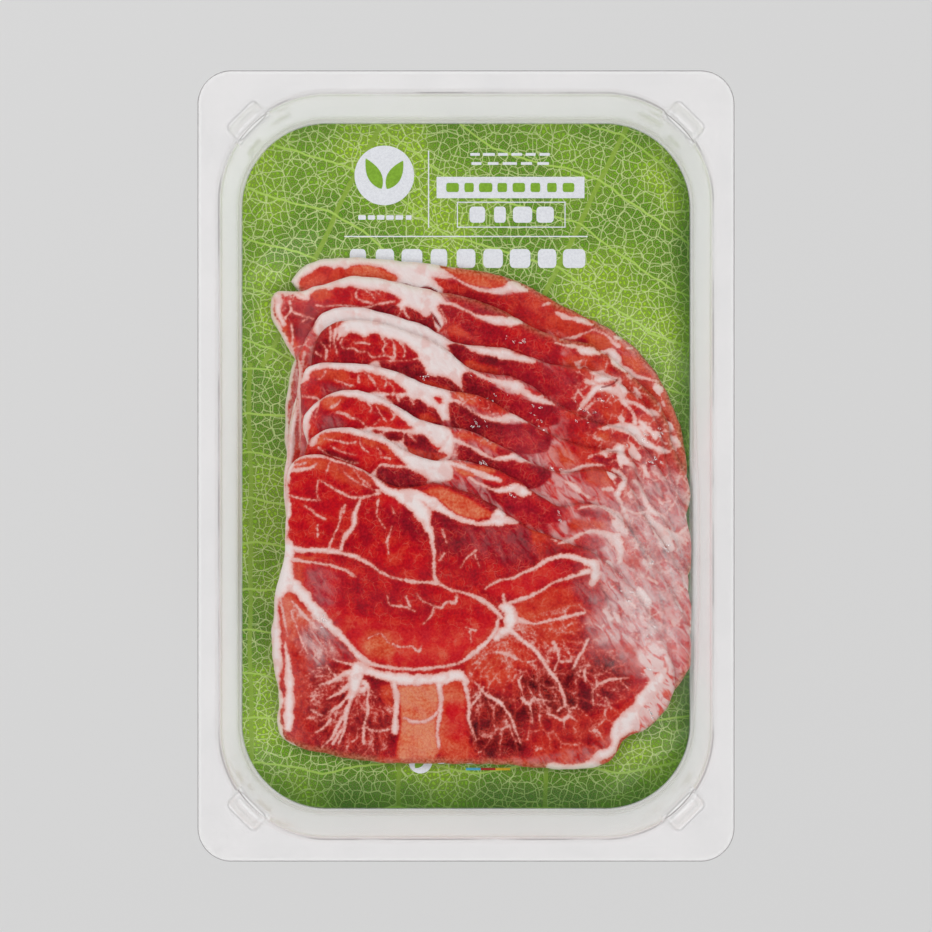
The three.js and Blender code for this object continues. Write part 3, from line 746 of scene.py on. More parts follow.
frontMarks = {
    "fat": [
        # the wide river below the upper edge and its tongue
        (-26, -3.2, .7, -23, -6.3, 1, -18.5, -8.3, 1.6, -14.5, -10.5, 2.4, -12, -13.5, 2.3, -10.8, -17, 1.3,
         -9.6, -20, .8, -9, -25, .5, -9, -30, .6, -8.2, -32.6, .5),
        (-19, -7.6, 1, -13, -8.6, 1.7, -8.5, -11, 1.5, -4, -13.8, .9, 0, -15.4, .8, 4, -16.2, .8,
         8, -15.7, 1.4, 11.5, -15.3, 1.2, 14.3, -15.8, .3),
        (7.5, -15, .9, 9.4, -13.2, 1.3, 10.5, -14.8, 1.2),
        # the two arcs over the eye
        (-51.5, -22.5, 1.3, -46, -23.6, .8, -40, -23.7, .75, -35, -24.4, .7, -30, -26, .6, -26, -28.3, .5,
         -22, -30.9, .45, -18, -32, .4, -13, -32.8, .5, -8, -33.2, .5, -4, -35, .45, 0, -36, .4,
         4, -37.5, .6, 7.5, -40, .7, 10, -42.5, .8),
        (-49, -26.4, .6, -43, -27.2, .4, -38, -27.9, .35, -34, -29.5, .35, -31, -31.2, .2),
        # the left end and the eye's rim
        (-51, -21, .9, -51, -27, 2.1, -51, -32, 2.5, -53, -36, 1.6),
        (-50.5, -32, 2, -46.3, -36, 1.7, -43.4, -39.7, 1.6, -40.8, -42.6, 1.7, -37.2, -46.3, 1.1,
         -34, -49.6, .9, -31, -53, .9, -28, -55.4, .8, -22, -57, .45, -15, -57.5, .5, -8, -57, .5,
         -2, -55.8, .55, 2, -53, .7, 6, -49.4, .7, 8.6, -46, .6, 9, -43, .5),
        (8.6, -48.5, 1.1, 11.5, -46.2, 1.3, 14, -47.5, .8),
        # below the eye
        (-31, -57, 2, -31.3, -60, 2, -31.8, -63.5, 1.3, -33, -67, .7, -34.2, -71, .75, -34.6, -75, .5,
         -36, -79, .25),
        (-29.5, -57.4, 1.6, -25, -59, 1.3, -18.5, -60.3, 1.7, -12, -60.6, 1.5, -6, -60, 1.8, -2, -59.2, 1.7,
         0, -61, .9),
        (-29, -61.5, 1.1, -27.6, -63, .5, -28, -66.5, .4, -27.8, -70, .4, -29, -74, .55, -29, -79, .3),
        (-29, -74, .5, -26, -75.3, .35, -22, -75, .3),
        (-20.6, -60.5, .9, -19.7, -66, .8, -20, -71, .9, -20.2, -75.5, 1.1),
        (-17.5, -71.5, .35, -15, -72.6, .5, -12, -72.4, .45, -9, -71, .5, -7.6, -69, .5),
        (-7.6, -62, 1, -7, -67, .6, -7.4, -70.5, .7, -8.2, -75, .5, -7.5, -80, .45),
        (-1, -60, 1, .2, -63.5, .6, 1, -68, .5, .8, -71, .55, 1.8, -75, .4, 3, -78, .2),
        (1.5, -68, .4, 3.5, -65.5, .35, 5, -62.5, .3),
        # the lower left fan
        (-31, -57.5, 1, -35, -59.2, .6, -38, -61, .5, -41.5, -62.2, .3),
        (-32.5, -62, .8, -36, -64.4, .55, -39.5, -66.3, .3), (-33, -65, .6, -36.5, -68.5, .45, -39, -70,
         .25),
        (-34, -69.5, .5, -36.5, -74, .6, -38, -77, .4, -41, -80, .25), (-35, -74.5, .45, -38, -79, .35),
        (-35.5, -60.5, .5, -38, -58.5, .4, -39.5, -56.5, .25), (-39, -57, .25, -42, -57.2, .3),
        (-31, -62, .5, -29.5, -63.5, .8, -28, -62, .7), (-30, -57, .9, -33.5, -56, .5, -38, -54.7, .3),
        (-41, -71, .3, -44, -69.3, .3), (-38.5, -72, .3, -41, -75, .3, -43, -76, .2),
        # the left edge's bands
        (-54.3, -38, .9, -54, -45, 1.3, -53.8, -52, 1.6, -53.5, -58, 1.1, -54.4, -61, .4),
        (-51.2, -50, .35, -50.4, -56, .9, -50, -62, 1.3, -50.3, -68, 1.5, -50.5, -74.5, 1.4),
        (-52.5, -37, .3, -51.5, -43, .3, -50.5, -48, .25), (-49.5, -41, .3, -47, -48, .35, -45, -53, .25),
        (-49, -38, .4, -45.5, -42.5, .5, -42, -46, .35),
        # the wedge on the right
        (5.5, -34.6, .25, 9, -32.4, .35, 13, -31.5, .4, 17, -29.6, .45, 20, -28.2, .55, 24, -26, .75,
         29, -25.3, .85, 33, -26.6, 1, 36, -28, 1.4, 36.2, -31, 1.3, 35.4, -33, .7),
        (34.5, -29.6, 1, 31, -30.6, .6, 27.5, -31.8, .5, 24, -33.2, .45, 20, -35.8, .55, 15.5, -37.5, .6,
         12, -38.6, .7),
        # the junction at the eye's right end and what runs from it
        (10, -39.5, .8, 12.5, -41, 1.9, 12.5, -44, 2, 12, -46.3, 1.1), (10.5, -36, .3, 11, -39, .9),
        (13.5, -47, .8, 16, -49.4, .75, 19.5, -52, .75, 22, -55.5, .6, 24, -58.5, .65, 26.5, -61.8, .5,
         27.7, -65.5, .4, 28.2, -67.5, .5),
        (24.5, -49.5, .3, 26, -52.5, .5, 26.3, -55, .4, 29.5, -55.2, .4), (26, -55, .4, 25, -58, .3),
        (15, -43.5, .7, 19, -44.5, .45, 24, -43.5, .5, 29, -42.5, .6, 33.5, -41.2, .5),
        (34.5, -49, .5, 33, -52, .45, 31, -55.5, .5, 30.3, -57.5, .3), (33.6, -57.5, .5, 33.8, -61, .4),
        (46, -60, .3, 41, -60.5, .5, 38.5, -61.3, .5, 36, -63.6, .4, 35.8, -68, .25),
        (2.5, -61, .4, 6, -65, .7, 9, -66.6, 1, 11, -68.8, .8, 12.7, -71.5, .55, 14, -75, .5, 15.7, -79,
         .35),
        (16, -66, .7, 18, -67.7, .8, 19, -66, .4, 22, -66.5, .3), (18, -68, .5, 18.7, -71, .45, 19, -73,
         .25),
        (24, -70.5, .6, 27.5, -72, .7, 29.6, -71, .8, 31.5, -72.5, .3), (27.5, -71.5, .4, 28, -74.5, .25),
        (26, -69.5, .35, 28, -68, .45, 29.5, -70, .5), (39.5, -65.5, .3, 41.5, -69, .4),
        (5, -54, .25, 8, -52.5, .35, 12.5, -53.6, .5, 14.5, -54.5, .5), (12, -57, .25, 16, -58.5, .4,
         15, -61.5, .5, 15.7, -63.5, .2), (17.5, -55.5, .45, 19.5, -55, .3),
        # thin veins in the eye and the upper muscles
        (-14, -36, .2, -12, -38, .22, -9.3, -39.4, .3, -7, -40, .35, -5.5, -38.4, .3, -3, -38.6, .45,
         -2.6, -36.6, .35), (-9, -40, .25, -9.8, -42.2, .3, -12, -44.6, .25),
        (-22, -36.5, .2, -21.6, -39, .25, -17, -39.7, .25, -14.3, -41, .2), (-17, -36.8, .18, -15.8, -39.6,
         .22),
        (0, -45.6, .2, 2.8, -46.6, .2), (1, -46.5, .2, 1.4, -50, .2), (-21, -50.2, .2, -19, -51.2, .22,
         -15.5, -51, .22, -13.4, -52.4, .22, -12.5, -50.5, .15), (-28, -49, .2, -25.5, -47.5, .3,
         -24, -47.3, .25, -22, -50, .25),
        (-40.5, -4.3, .25, -36, -7, .35, -32, -8.8, .4, -28, -8.5, .35, -24.5, -7.8, .4),
        (-50, -8.3, .3, -45.5, -9.3, .3, -41, -9.6, .3), (-41.5, -4, .2, -42, -7, .25, -41.2, -9.5, .25),
        (-45.3, -11, .25, -42, -13.7, .3, -39.5, -15.2, .2), (-41.6, -16.5, .2, -41.7, -19.8, .2),
        (-30, -10, .5, -31.3, -13.5, .7, -31.5, -16.5, .75, -34, -20, .6, -35.3, -23.5, .7),
        (-35, -11.5, .2, -35.4, -15.5, .25, -37.4, -20, .25, -38.6, -23.3, .3),
        (-34, -11, .4, -34.5, -13, .25), (-24.6, -9.5, .3, -25.1, -13.5, .2), (-21, -11, .15, -20, -13.5,
         .15),
        (-20.6, -17, .15, -22, -20.5, .22, -21.8, -25, .18), (-25, -14, .15, -22.8, -17.5, .15),
        (3, -23.6, .15, .5, -25.6, .2, -1.5, -28.5, .25), (2.5, -25, .15, 4, -28.5, .18),
        (-6.5, -18, .2, -5.5, -22, .15), (-6, -24.5, .2, -7.3, -26.5, .2),
        (-50, -8.5, .3, -49, -11.5, .15),
    ],
    "plates": [
        (41, -79.5, 41, -74.5, 44.4, -70, 47.5, -67.5, 48.5, -65, 51, -62, 54, -58.6, 57, -57, 56.5, -61,
         53.5, -65.5, 51, -67.8, 49.5, -70.5, 49.5, -73.5, 46.5, -76, 44, -77.5, 42, -82, 36, -84, 37, -81),
        (-53.5, -20, -49.5, -20.5, -48, -24.5, -49.5, -28, -49, -32, -52, -37, -55, -38),
        (23, -84.6, 31, -85, 37, -83.4, 39, -88, 24, -89),
    ],
    "tones": [  # tone from dark to bright, warmth from purple to orange, haze, softness, patch
        (.62, .5, 0, 4, (-52, 3, -26, -7, -31, -12, -37, -24, -52, -22)),
        (.52, .48, 0, 6, (-31, -8, -20, -8, -9.5, -20, -9, -33, -24, -31, -36, -25)),
        (.40, .3, 0, 6, (-22, -12, -17, -10, -10.5, -18, -11, -24, -17, -20)),
        (.66, .52, 0, 6, (-26, -22, -13, -22, -11, -31, -24, -30)),
        (.78, .5, 0, 3, (-24, -8.5, -20, -8.6, -18, -12, -23, -11)),
        (.38, .26, .1, 5, (-9, -14, 2, -16.5, 14, -17, 27, -21, 24, -26, 12, -30, -8, -28)),
        (.56, .46, 0, 4, (-8, -27, 12, -28, 6, -34, -7, -33)),
        (.44, .2, .2, 6, (0, -18, 22, -18, 22, -24, 2, -25)),
        (.70, .78, .12, 2.5, (18, -17.5, 24, -18, 24, -22, 19, -21.5)),
        (.50, .62, .15, 4, (20, -22, 27, -20, 33, -22, 26, -25, 20, -27)),
        (.68, .5, 0, 3, (-48, -26, -31, -28.5, -8, -34, 2, -37.5, 9, -43, 6, -50, -4, -56, -21, -56.5,
                         -30, -53, -38, -45, -47, -35)),
        (.84, .52, 0, 7, (-31, -42, -21, -45, -5, -47, 6, -46, 2, -52, -6, -56, -20, -56, -29, -52)),
        (.55, .44, 0, 6, (-36, -31, -12, -34, -4, -38, -14, -44, -32, -41)),
        # painted sheen: a purple, hazy patch
        (.58, .14, .3, 5, (-46, -28.5, -38.5, -29, -36.5, -36, -38.5, -40, -44, -37)),
        (.84, .9, .0, 4, (-29, -50, -26, -46.5, -22, -47.5, -20.5, -52, -24, -54.5, -28, -53)),
        (.75, .88, .05, 1.5, (-48, -25.8, -43, -25.6, -43, -26.9, -48, -26.8)),
        (.72, .8, .1, 3, (-50, -28, -45, -28, -46, -33, -48, -34)),
        (.74, .84, .22, 4, (-53, -36, -49, -36, -42, -44, -40, -46, -44, -55, -50, -54, -52, -46)),
        (.48, .42, .3, 4, (-42, -45, -36, -48, -31.5, -54, -38, -56, -43, -56)),
        (.42, .45, .5, 4, (-46, -46, -41, -45, -40, -56, -42, -68, -46, -70, -48, -58)),
        (.54, .6, .12, 4, (-49.5, -50, -45, -52, -45, -82, -50, -80)),
        (.36, .45, 0, 4, (-43, -58, -33, -57, -20.5, -60, -21, -82, -40, -82)),
        (.66, .72, 0, 2.5, (-24, -62, -21, -61.5, -21, -68, -23.5, -67)),
        (.93, .97, .2, 1.5, (-18.8, -61, -8, -61, -7.8, -70, -9, -84, -19, -84, -18.5, -72)),
        (.80, .78, .05, 2, (-6.5, -62, -1.5, -60.5, .5, -68, .5, -83, -7, -83)),
        (.80, .52, 0, 3, (-4.6, -67, 0, -67, .8, -78, -4.8, -77)),
        (.28, .5, 0, 4, (2, -64, 13, -67, 16, -82, 3, -82)),
        (.72, .66, 0, 6, (-1, -56, 5, -50, 12, -48, 18, -52, 16, -62, 4, -62)),
        (.70, .68, .04, 6, (13, -38, 30, -34, 33, -44, 27, -50, 17, -49)),
        (.24, .48, 0, 8, (14, -60, 24, -58, 34, -56, 44, -54, 42, -66, 34, -74, 18, -73)),
        (.34, .3, 0, 5, (30, -60, 46, -59, 44, -69, 36, -72)),
        (.56, .6, 0, 4, (20, -74, 40, -71, 42, -82, 22, -82)),
        (.66, .62, .05, 4, (39, -71, 45, -64, 46, -68, 41, -80, 37, -80)),
        (.76, .5, 0, 2.5, (6, -34.6, 13, -32, 20, -29, 24, -27, 29, -26.3, 34, -28.4, 28, -31, 20, -35, 12,
         -37.8)),
        (.5, .32, .08, 3, (25, -26.5, 33, -27.5, 32, -30, 26, -30)),
        (.44, .4, .3, 5, (30, -32, 36, -33, 37, -39, 32, -38)),
        (.5, .56, .34, 5, (45, -49, 56, -48, 58, -55, 50, -60, 42, -57)),
        (.8, .6, .9, 3, (49, -52, 60, -47, 60, -68, 54, -77, 46, -80, 42, -85, 42, -78, 49, -69, 51, -62)),
        (.6, .66, .34, 2.5, (-51, -79.5, -40, -82, -20, -83.4, 2, -83.8, 24, -81.6, 40, -77, 44, -72, 47,
         -75, 40, -86, -54, -87)),
        (.6, .5, .62, 6, (36, -27, 45, -22, 60, -28, 60, -47, 50, -51, 38, -50, 34, -44, 39, -39, 37, -33)),
    ],
}
# Veins that radiate like a net: centre, patch, wedge angle and length ratio of a cell, seed, thickness
frontNets = [
    ((11, -42), (4, -47, 12, -43, 33, -37, 39, -46, 48, -58, 43, -80, 22, -83, 2, -83, -1, -57),
     .105, .22, 3, -.01, .2),
    ((-29, -56), (-33, -56, -30, -61, -21, -62, -21, -82, -42, -82, -49, -74, -47, -58, -40, -55),
     .11, .3, 5, -.05, .2),
    ((-44, -20), (-49, -36, -42, -43, -36, -50, -33, -56, -44, -57, -49.5, -54, -52, -44), .05, .35, 9, .01,
     .24),
]


# What shows of the slices behind, back slice first: fat plates, muscle set into them, fat strokes over both
bandMarks = [
    {"plates": [
         (-52, 51, -47, 58, -35, 61, -5, 58.5, -3, 55, -9.5, 53.6, -5, 50, -10, 48, -30, 48, -50, 46)],
     "pockets": [
         (.66, .72, 0, (-47.2, 50, -46.8, 53.4, -44, 55, -42, 56.3, -40, 56.7, -38.2, 56.4, -37.6, 55.8,
          -36.8, 56.6, -34.5, 56.1, -34.3, 54, -36, 50, -41, 48)),
         (.78, .86, .1, (-34, 56, -31, 57.2, -26.5, 57, -22.5, 55.4, -19.4, 53.6, -22, 51, -33, 50, -34.2,
          54)),
         (.5, .62, .1, (-8.5, 53, -6.5, 53.5, -4, 52.5, 1, 51.2, 5, 50.3, 9, 48.6, 16, 49, 20, 48, 26, 44,
          20, 36, 0, 40, -6, 46, -6.6, 50)),
         (.74, .86, .1, (-7.5, 57, -2.5, 56, 5, 55.2, 10.5, 53.8, 11.6, 52, 9.5, 50.9, 4.5, 51.2, .5, 52,
          -4, 54.6))],
     "fat": [
         (-9, 54.6, 1, -4, 53.8, .5, 0, 51.8, .4, 4, 50.2, .5, 8, 49.6, .8, 11, 50, 1.2, 13, 51.3, 1.7, 15,
          50.6, 1.3, 17.3, 50, .5),
         (-12, 51, .6, -8.5, 50, .5)],
     # Blood and painted shade: a dark red line along the slit at the next slice's edge
     "bloodAndShade": [
         (-24.5, 52.5, .2, -20, 51.9, .3, -17, 51.7, .25, -14, 50.4, .5, -11.5, 50.6, .6, -8.6, 49.6, .4)],
     "tones": [
         (.42, .35, 0, 3, (-5, 49.6, 4, 48, 12, 46.2, 8, 43, -4, 46)),
         (.9, .95, .3, 1.2, (-18.5, 57.4, -15, 58.7, -12.5, 57.6, -15.5, 56.6))]},
    {"plates": [
         (-48, 50.6, -31, 55, -12, 52, -6, 47.5, -5, 44, -8, 38, -20, 40, -30, 43, -47, 40)],
     "pockets": [
         (.56, .5, .05, (-47.5, 49.3, -44.8, 46.7, -44, 49, -41.5, 50, -38, 50.3, -37.2, 50.9, -34.2, 50.6,
          -33.7, 51, -31, 50.7, -27, 50, -23, 49.5, -20.4, 48.4, -18.6, 47.1, -19, 46.4, -20, 45.4, -19,
          44.8, -19, 42.8, -30, 40, -52, 34, -53, 40, -50, 46)),
         (.33, .36, 0, (-17.6, 45, -15.4, 44.8, -13, 43.6, -11, 42.6, -9.8, 43.4, -8.8, 40, -8, 38.5, -14,
          38, -19, 41, -18.6, 44)),
         (.46, .44, 0, (-8, 45.4, -6, 45.7, -3, 45.2, 2, 42.7, 6, 40.6, 9, 39.7, 16, 40, 26, 34, 26, 28, 0,
          31, -5, 37, -6.4, 42)),
         (.47, .26, .14, (-5.5, 48.2, -1, 47.6, 5, 46.8, 12, 44.9, 24, 38, 20, 39, 15, 42.4, 9.5, 42.7, 5,
          42.7, 0, 45, -4, 46.6))],
     "fat": [
         (-8, 46.6, .8, -4, 46, .4, 0, 44.2, .35, 3.5, 42.4, .6, 6.5, 41.8, 1, 10, 41.2, 1.4, 13.5, 41,
          1.3, 15.5, 41, .8),
         (-49.5, 49.6, .4, -47, 48.3, .9, -45.3, 47.6, .6),
         (-42.5, 45.8, .25, -40, 45.4, .2, -36, 45.6, .25, -31, 45.2, .3, -28.5, 45, .35, -25, 46, .25,
          -20.5, 46.8, .3),
         (-30.6, 50.6, .2, -31.3, 48.5, .22, -29.5, 46.8, .25, -26.5, 46.4, .2),
         (-29.8, 50.3, .2, -27.5, 49.3, .2, -25.8, 47.5, .2), (-25.5, 49.5, .15, -24.3, 48.4, .15),
         (-17.8, 45, .3, -17.3, 43.5, .2, -16.4, 42.2, .25),
         (-55, 49.6, .8, -53.4, 47.5, 1, -53.3, 43.5, 1, -52, 40.5, .6), (-52.6, 49.6, .5, -50.8, 48.6, .4),
         (-50, 46.8, .35, -49.3, 44, .35, -46, 42.6, .25, -43.5, 41.8, .3),
         (-49.5, 44.5, .3, -51.5, 42, .3), (-49.6, 40, .5, -49.2, 37, .4, -49.6, 34, .3),
         (-46.5, 41.2, .2, -44.3, 42.2, .2), (-7.7, 45.2, .3, -6.2, 42.8, .3, -5.6, 40.6, .25)],
     "bloodAndShade": [
         (-10, 43.9, .1, -9.3, 42.6, .35, -8.3, 41, .5, -7.2, 39.4, .2)],
     "tones": [
         (.3, .32, 0, 1, (-28.5, 45.2, -25, 45.6, -19.6, 45.4, -18.8, 42.6, -28, 41)),
         (.42, .42, 0, 3, (-50, 47, -44, 46, -40, 44, -44, 38, -51, 38)),
         (.62, .9, .1, 2, (-57.5, 50, -55, 50, -52.5, 45, -50, 38, -48, 34, -52, 34, -57, 42)),
         (.7, .84, .05, 1.5, (-44, 49, -40.5, 51, -38.5, 48.5, -42, 47)),
         (.62, .72, .1, 1.5, (-8, 38.8, -3, 37.4, 2, 36, -1, 39, -5, 41))]},
    {"plates": [
         (-43, 38, -42, 44, -35, 47, -26, 46, -10, 40.6, -2, 36.4, 0, 33, -20, 34, -40, 36)],
     "pockets": [
         (.34, .3, 0, (-5.2, 34.2, -3.6, 34.7, 0, 33.9, 4, 32.2, 9, 30.6, 14, 29.8, 20, 29.6, 26, 25, 24,
          20, 0, 24, -3, 31)),
         (.6, .62, .05, (-6, 38.4, -2, 36.2, 3, 35.6, 8, 35, 7, 34.4, 3, 34.6, -1, 35.2, -4.5, 36))],
     "fat": [
         (-6, 36.6, 1, -2, 35.4, .6, 3, 33.2, 1, 7, 32.4, 1.2, 11, 31.8, 1.6, 13.5, 30.9, 1.1, 16.5, 30.4,
          1, 19, 29.8, .6),
         (10.5, 33, .6, 12.5, 33.2, .4),
         (-48.3, 33, .5, -48.7, 26, 1, -49, 18, 1.2, -49.4, 8, 1, -50, 0, .8),
         (-47.3, 30, .35, -47.2, 22, .6, -46.8, 12, .6, -46.9, 5, .4),
         (-50.9, 14, .35, -51, 4, .4, -50.8, -6, .4), (-45.8, 32, .5, -46.6, 28, .4)],
     "tones": [
         (.6, .72, .12, 3, (-52, 34, -46, 34, -45, -8, -52, -8)),
         (.55, .78, .0, 1.5, (0, 30, 4, 29.4, 9, 27.8, 9, 25.4, 4, 26.8, 0, 28)),
         (.62, .66, .1, 2, (11.8, 33.6, 13.4, 32.2, 16, 31.6, 15, 33.6))]},
    {"plates": [
         (-36.5, 38.6, -33, 42.5, -20, 41.5, -8, 36, 0, 29.5, -.5, 20.5, -6, 22, -14, 25, -30, 29, -37, 36)],
     "pockets": [
         (.44, .46, 0, (-45, 39, -38, 41.3, -36.6, 38, -36.5, 35.5, -34.6, 37, -32, 37.7, -30.2, 37.2,
          -28.4, 36.4, -26.8, 37.2, -24.8, 37.3, -23.6, 36.2, -22.9, 36.5, -21.8, 35.6, -20.5, 35.7, -18.4,
          35, -16, 33.6, -14.5, 32.2, -13.6, 30.7, -17, 30.1, -22, 29.9, -26, 29.4, -40, 24, -48, 28)),
         (.27, .26, 0, (-24.5, 29.3, -20, 29.6, -15, 30, -12.8, 29.7, -11.8, 28, -11.3, 26.3, -10, 25.7,
          -5, 24.9, -2, 22.6, -.6, 20.5, -8, 20, -20, 24)),
         (.33, .3, 0, (-.6, 26.2, 1.5, 26.1, 4, 24.6, 8, 22.4, 13, 19.8, 19, 18, 26, 16, 26, 12, 4, 14,
          -.6, 20))],
     "fat": [
         (-1, 28.6, .8, 2, 27, .45, 5, 25.2, .5, 8, 24.2, .8, 11, 23.3, 1.2, 14, 22.6, 1.7, 16.5, 20.9, 1,
          19.5, 19.2, .9, 22.5, 18.4, .8, 24.9, 17.3, .35),
         (21.5, 19.6, .5, 20, 19.4, .5),
         (-23.9, 36.4, .2, -22.7, 34.8, .25, -23.6, 33.2, .22, -22.8, 31.4, .22, -20.4, 30.5, .3),
         (-20.9, 35.8, .2, -20.2, 33.6, .2, -20.3, 30.8, .25),
         (-18.8, 35, .2, -17.2, 33, .22, -17.8, 30.8, .25),
         (-34.6, 36.6, .2, -35.4, 34.6, .22, -34.3, 33.2, .22, -32, 33.4, .2, -30.2, 32.4, .2, -28, 32.2,
          .2, -26.5, 30.8, .22, -23, 31.3, .2),
         (-31.3, 35, .15, -29, 34.9, .2, -27.2, 34.4, .15),
         (-36.8, 38.5, .6, -37.4, 35, .35, -36.5, 32, .3), (-41, 35, .2, -39.5, 33, .25, -40, 30, .2),
         (-42, 39, .3, -43, 35.5, .25, -45, 33.5, .3, -45.5, 31.5, .4), (-42.5, 32.2, .35, -41, 31, .3),
         (-38.6, 40.5, .25, -38.3, 37.5, .3, -38.6, 34, .2)],
     "tones": [
         (.34, .42, 0, 3, (-44, 40, -38.5, 39, -39, 32, -46, 30)),
         (.55, .8, .15, 1.2, (-39.5, 41.6, -35.2, 41.6, -35.2, 39.5, -38, 39.6)),
         (.56, .48, 0, 3, (-36, 37, -15, 35, -13, 30, -26, 30, -30, 33)),
         (.5, .82, .12, 1.5, (-14, 25.2, -9, 23.8, -4, 21.6, -10, 21.4)),
         (.5, .78, .05, 1.6, (-.4, 31, 4, 29.8, 9, 28.2, 10, 26, 4, 27.2, 0, 28.8)),
         (.62, .62, .05, 1.6, (17, 22.4, 22, 20.6, 24.5, 18.6, 20, 19.6))]},
    {"plates": [
         (-47, 23, -46, 29, -35, 30.5, -20, 28, -8, 23.6, -4, 20, -5, 13, -24, 15, -46, 18)],
     "pockets": [
         (.56, .52, 0, (-47, 22.8, -44.7, 24.2, -43.9, 26, -42, 27.2, -38, 27.5, -34, 27, -31, 26.4, -29,
          26.7, -26, 26.1, -23, 25.1, -20.4, 23.8, -18.3, 22.4, -17.2, 21.1, -18, 20.7, -22, 20.8, -27, 21,
          -31, 20, -46, 14)),
         (.34, .3, 0, (-22.6, 19.6, -20, 20, -18.4, 19.3, -16.9, 19.6, -15.6, 18.6, -13.6, 19, -11, 17.4,
          -9.4, 16.4, -8.2, 15.2, -7, 13.2, -8, 11, -16, 13, -20, 17)),
         (.31, .26, 0, (-4.8, 17.6, -3, 17.7, 0, 16.2, 4, 14, 8, 12.4, 12, 11.6, 18, 11.5, 24, 8, 22, 4, 2,
          6, -3, 10, -4.6, 14)),
         (.8, .58, 0, (-9, 19.3, -7.4, 19.2, -6.2, 18.2, -7.4, 18))],
     "fat": [
         (-6, 18.6, .9, -2, 18.2, .4, 1.5, 15.6, .35, 4.5, 14, .5, 7.5, 13.2, .7, 10.5, 13.2, 1, 13, 13.8,
          1.3, 15.5, 13, .8, 17.6, 12.6, .3),
         (-28.5, 26.5, .2, -26.8, 24.8, .25, -25.4, 22.6, .2, -24.6, 21.6, .15),
         (-24, 25.3, .2, -22.2, 23.8, .22, -23, 22.2, .18), (-22, 23.8, .15, -20.7, 22.6, .15),
         (-20.3, 21.8, .2, -19.8, 20.6, .2), (-37, 24.5, .2, -34, 23.2, .2, -32, 22.6, .2),
         (-40, 26.8, .3, -40.6, 25, .3, -42, 24.4, .2), (-30.3, 25.8, .2, -30.2, 23.6, .3),
         (-19.3, 19.6, .25, -18.9, 18.3, .25), (-15.9, 19.3, .25, -15, 17.6, .2),
         (-46.5, 19.8, .3, -43, 19.3, .3, -41.5, 18.5, .3)],
     "tones": [
         (.7, .84, .05, 2.5, (-43.5, 26.5, -38, 28, -33, 26.6, -34, 24, -40, 23.6)),
         (.74, .86, .05, 1.6, (-30, 27.3, -24, 26.2, -19.5, 23.6, -21.5, 23.9, -27, 25.6)),
         (.64, .5, 0, 3, (-32, 25, -20, 24.4, -17.5, 21.2, -31, 21.6)),
         (.42, .12, .3, 3, (-41, 23, -36, 22.6, -33, 20.6, -40, 20)),
         (.5, .8, .1, 1.5, (-14, 15, -10, 14.3, -6.5, 12.6, -12, 12.4)),
         (.82, .86, .12, 1.6, (-3.5, 20.8, 2, 20.4, 4, 18.6, 2.4, 16.8, 0, 17.4, -4, 19.4)),
         (.6, .62, .05, 2, (4, 19.4, 10, 17.2, 12, 15.4, 6, 15, 2.5, 17))]},
    {"plates": [
         (-47, 10, -46, 19, -36, 22.6, -26, 21.4, -14, 15.5, -5, 11, -3, 7, -6, .5, -26, 4, -46, 6)],
     "pockets": [
         (.58, .52, 0, (-44.3, 10, -43.5, 14.5, -41.5, 17, -40.3, 19, -37.5, 19.6, -33.5, 19.5, -31.5, 19,
          -30, 18.8, -27.6, 17.5, -24.5, 17.3, -21.5, 16.2, -19.6, 14.4, -18, 13, -16.4, 11.8, -15.1, 10.6,
          -17, 10.4, -22, 10.8, -27, 11, -31, 10.5, -40, 7, -44, 6)),
         (.42, .4, 0, (-26.3, 10.2, -24.8, 10.4, -23.5, 9.3, -25, 9)),
         (.34, .3, 0, (-23.5, 9, -21, 9.8, -17.8, 9.3, -17.9, 7.5, -20, 7.2, -22.4, 8)),
         (.32, .26, .05, (-17.2, 9.2, -15.2, 9.1, -12.5, 8.6, -10, 7.1, -8.5, 5.7, -7, 5.1, -7.6, 4.2, -5,
          3, -8, 1.5, -12, 1, -15.4, 2.8, -17.2, 6)),
         (.3, .26, 0, (-2.6, 4.6, -1, 5.5, 2, 4.6, 6, 2.8, 10, 1.4, 18, .4, 24, -2, 20, -6, 4, -4, -2, 2))],
     "fat": [
         (-5, 7.6, 1.2, -1.5, 6.6, .6, 2, 5, .5, 5, 3.2, .5, 8, 2.1, .5, 11, 2.2, .9, 13.8, 2.7, 1.1, 16.5,
          1.8, .8, 19.6, .8, .25),
         (-27.7, 17.7, .22, -26.6, 16.4, .22, -27.2, 15, .2),
         (-25, 16.6, .15, -24.1, 14.6, .25, -22.6, 12.8, .2), (-24, 14.6, .2, -26, 15.2, .15),
         (-21.7, 15.8, .2, -20.2, 14, .22, -21, 12.8, .15),
         (-36.5, 15, .15, -34.5, 14.9, .25, -32.5, 13.6, .25, -30, 12.8, .25, -28, 10.9, .25),
         (-35.5, 18.6, .3, -36.6, 17.2, .3, -38.5, 16.6, .2), (-41.6, 16.4, .25, -42.6, 14, .25),
         (-16.5, 9.2, .25, -14.4, 7, .2), (-24.5, 13, .15, -26, 11.8, .15)],
     "tones": [
         (.72, .86, .08, 2, (-41, 18.5, -37, 20.4, -34, 19.8, -35, 17, -40, 16)),
         (.42, .14, .28, 3, (-42, 13, -36, 14.5, -34, 11.5, -41, 10)),
         (.64, .5, 0, 3, (-36, 17, -27, 17.2, -19, 13.4, -17, 10.8, -30, 12.6)),
         (.62, .86, .05, 1.6, (-26, 17.5, -21.4, 16.4, -19.4, 14, -22, 14.8)),
         (.52, .82, .18, 1.6, (-17, 5.2, -12, 4.6, -8, 3.8, -4.4, 2.8, -8, .8, -13, .4, -16.4, 2.6)),
         (.84, .5, 0, 1, (-9.5, 6.4, -7, 5.4, -7.4, 4.6, -9.6, 5.4)),
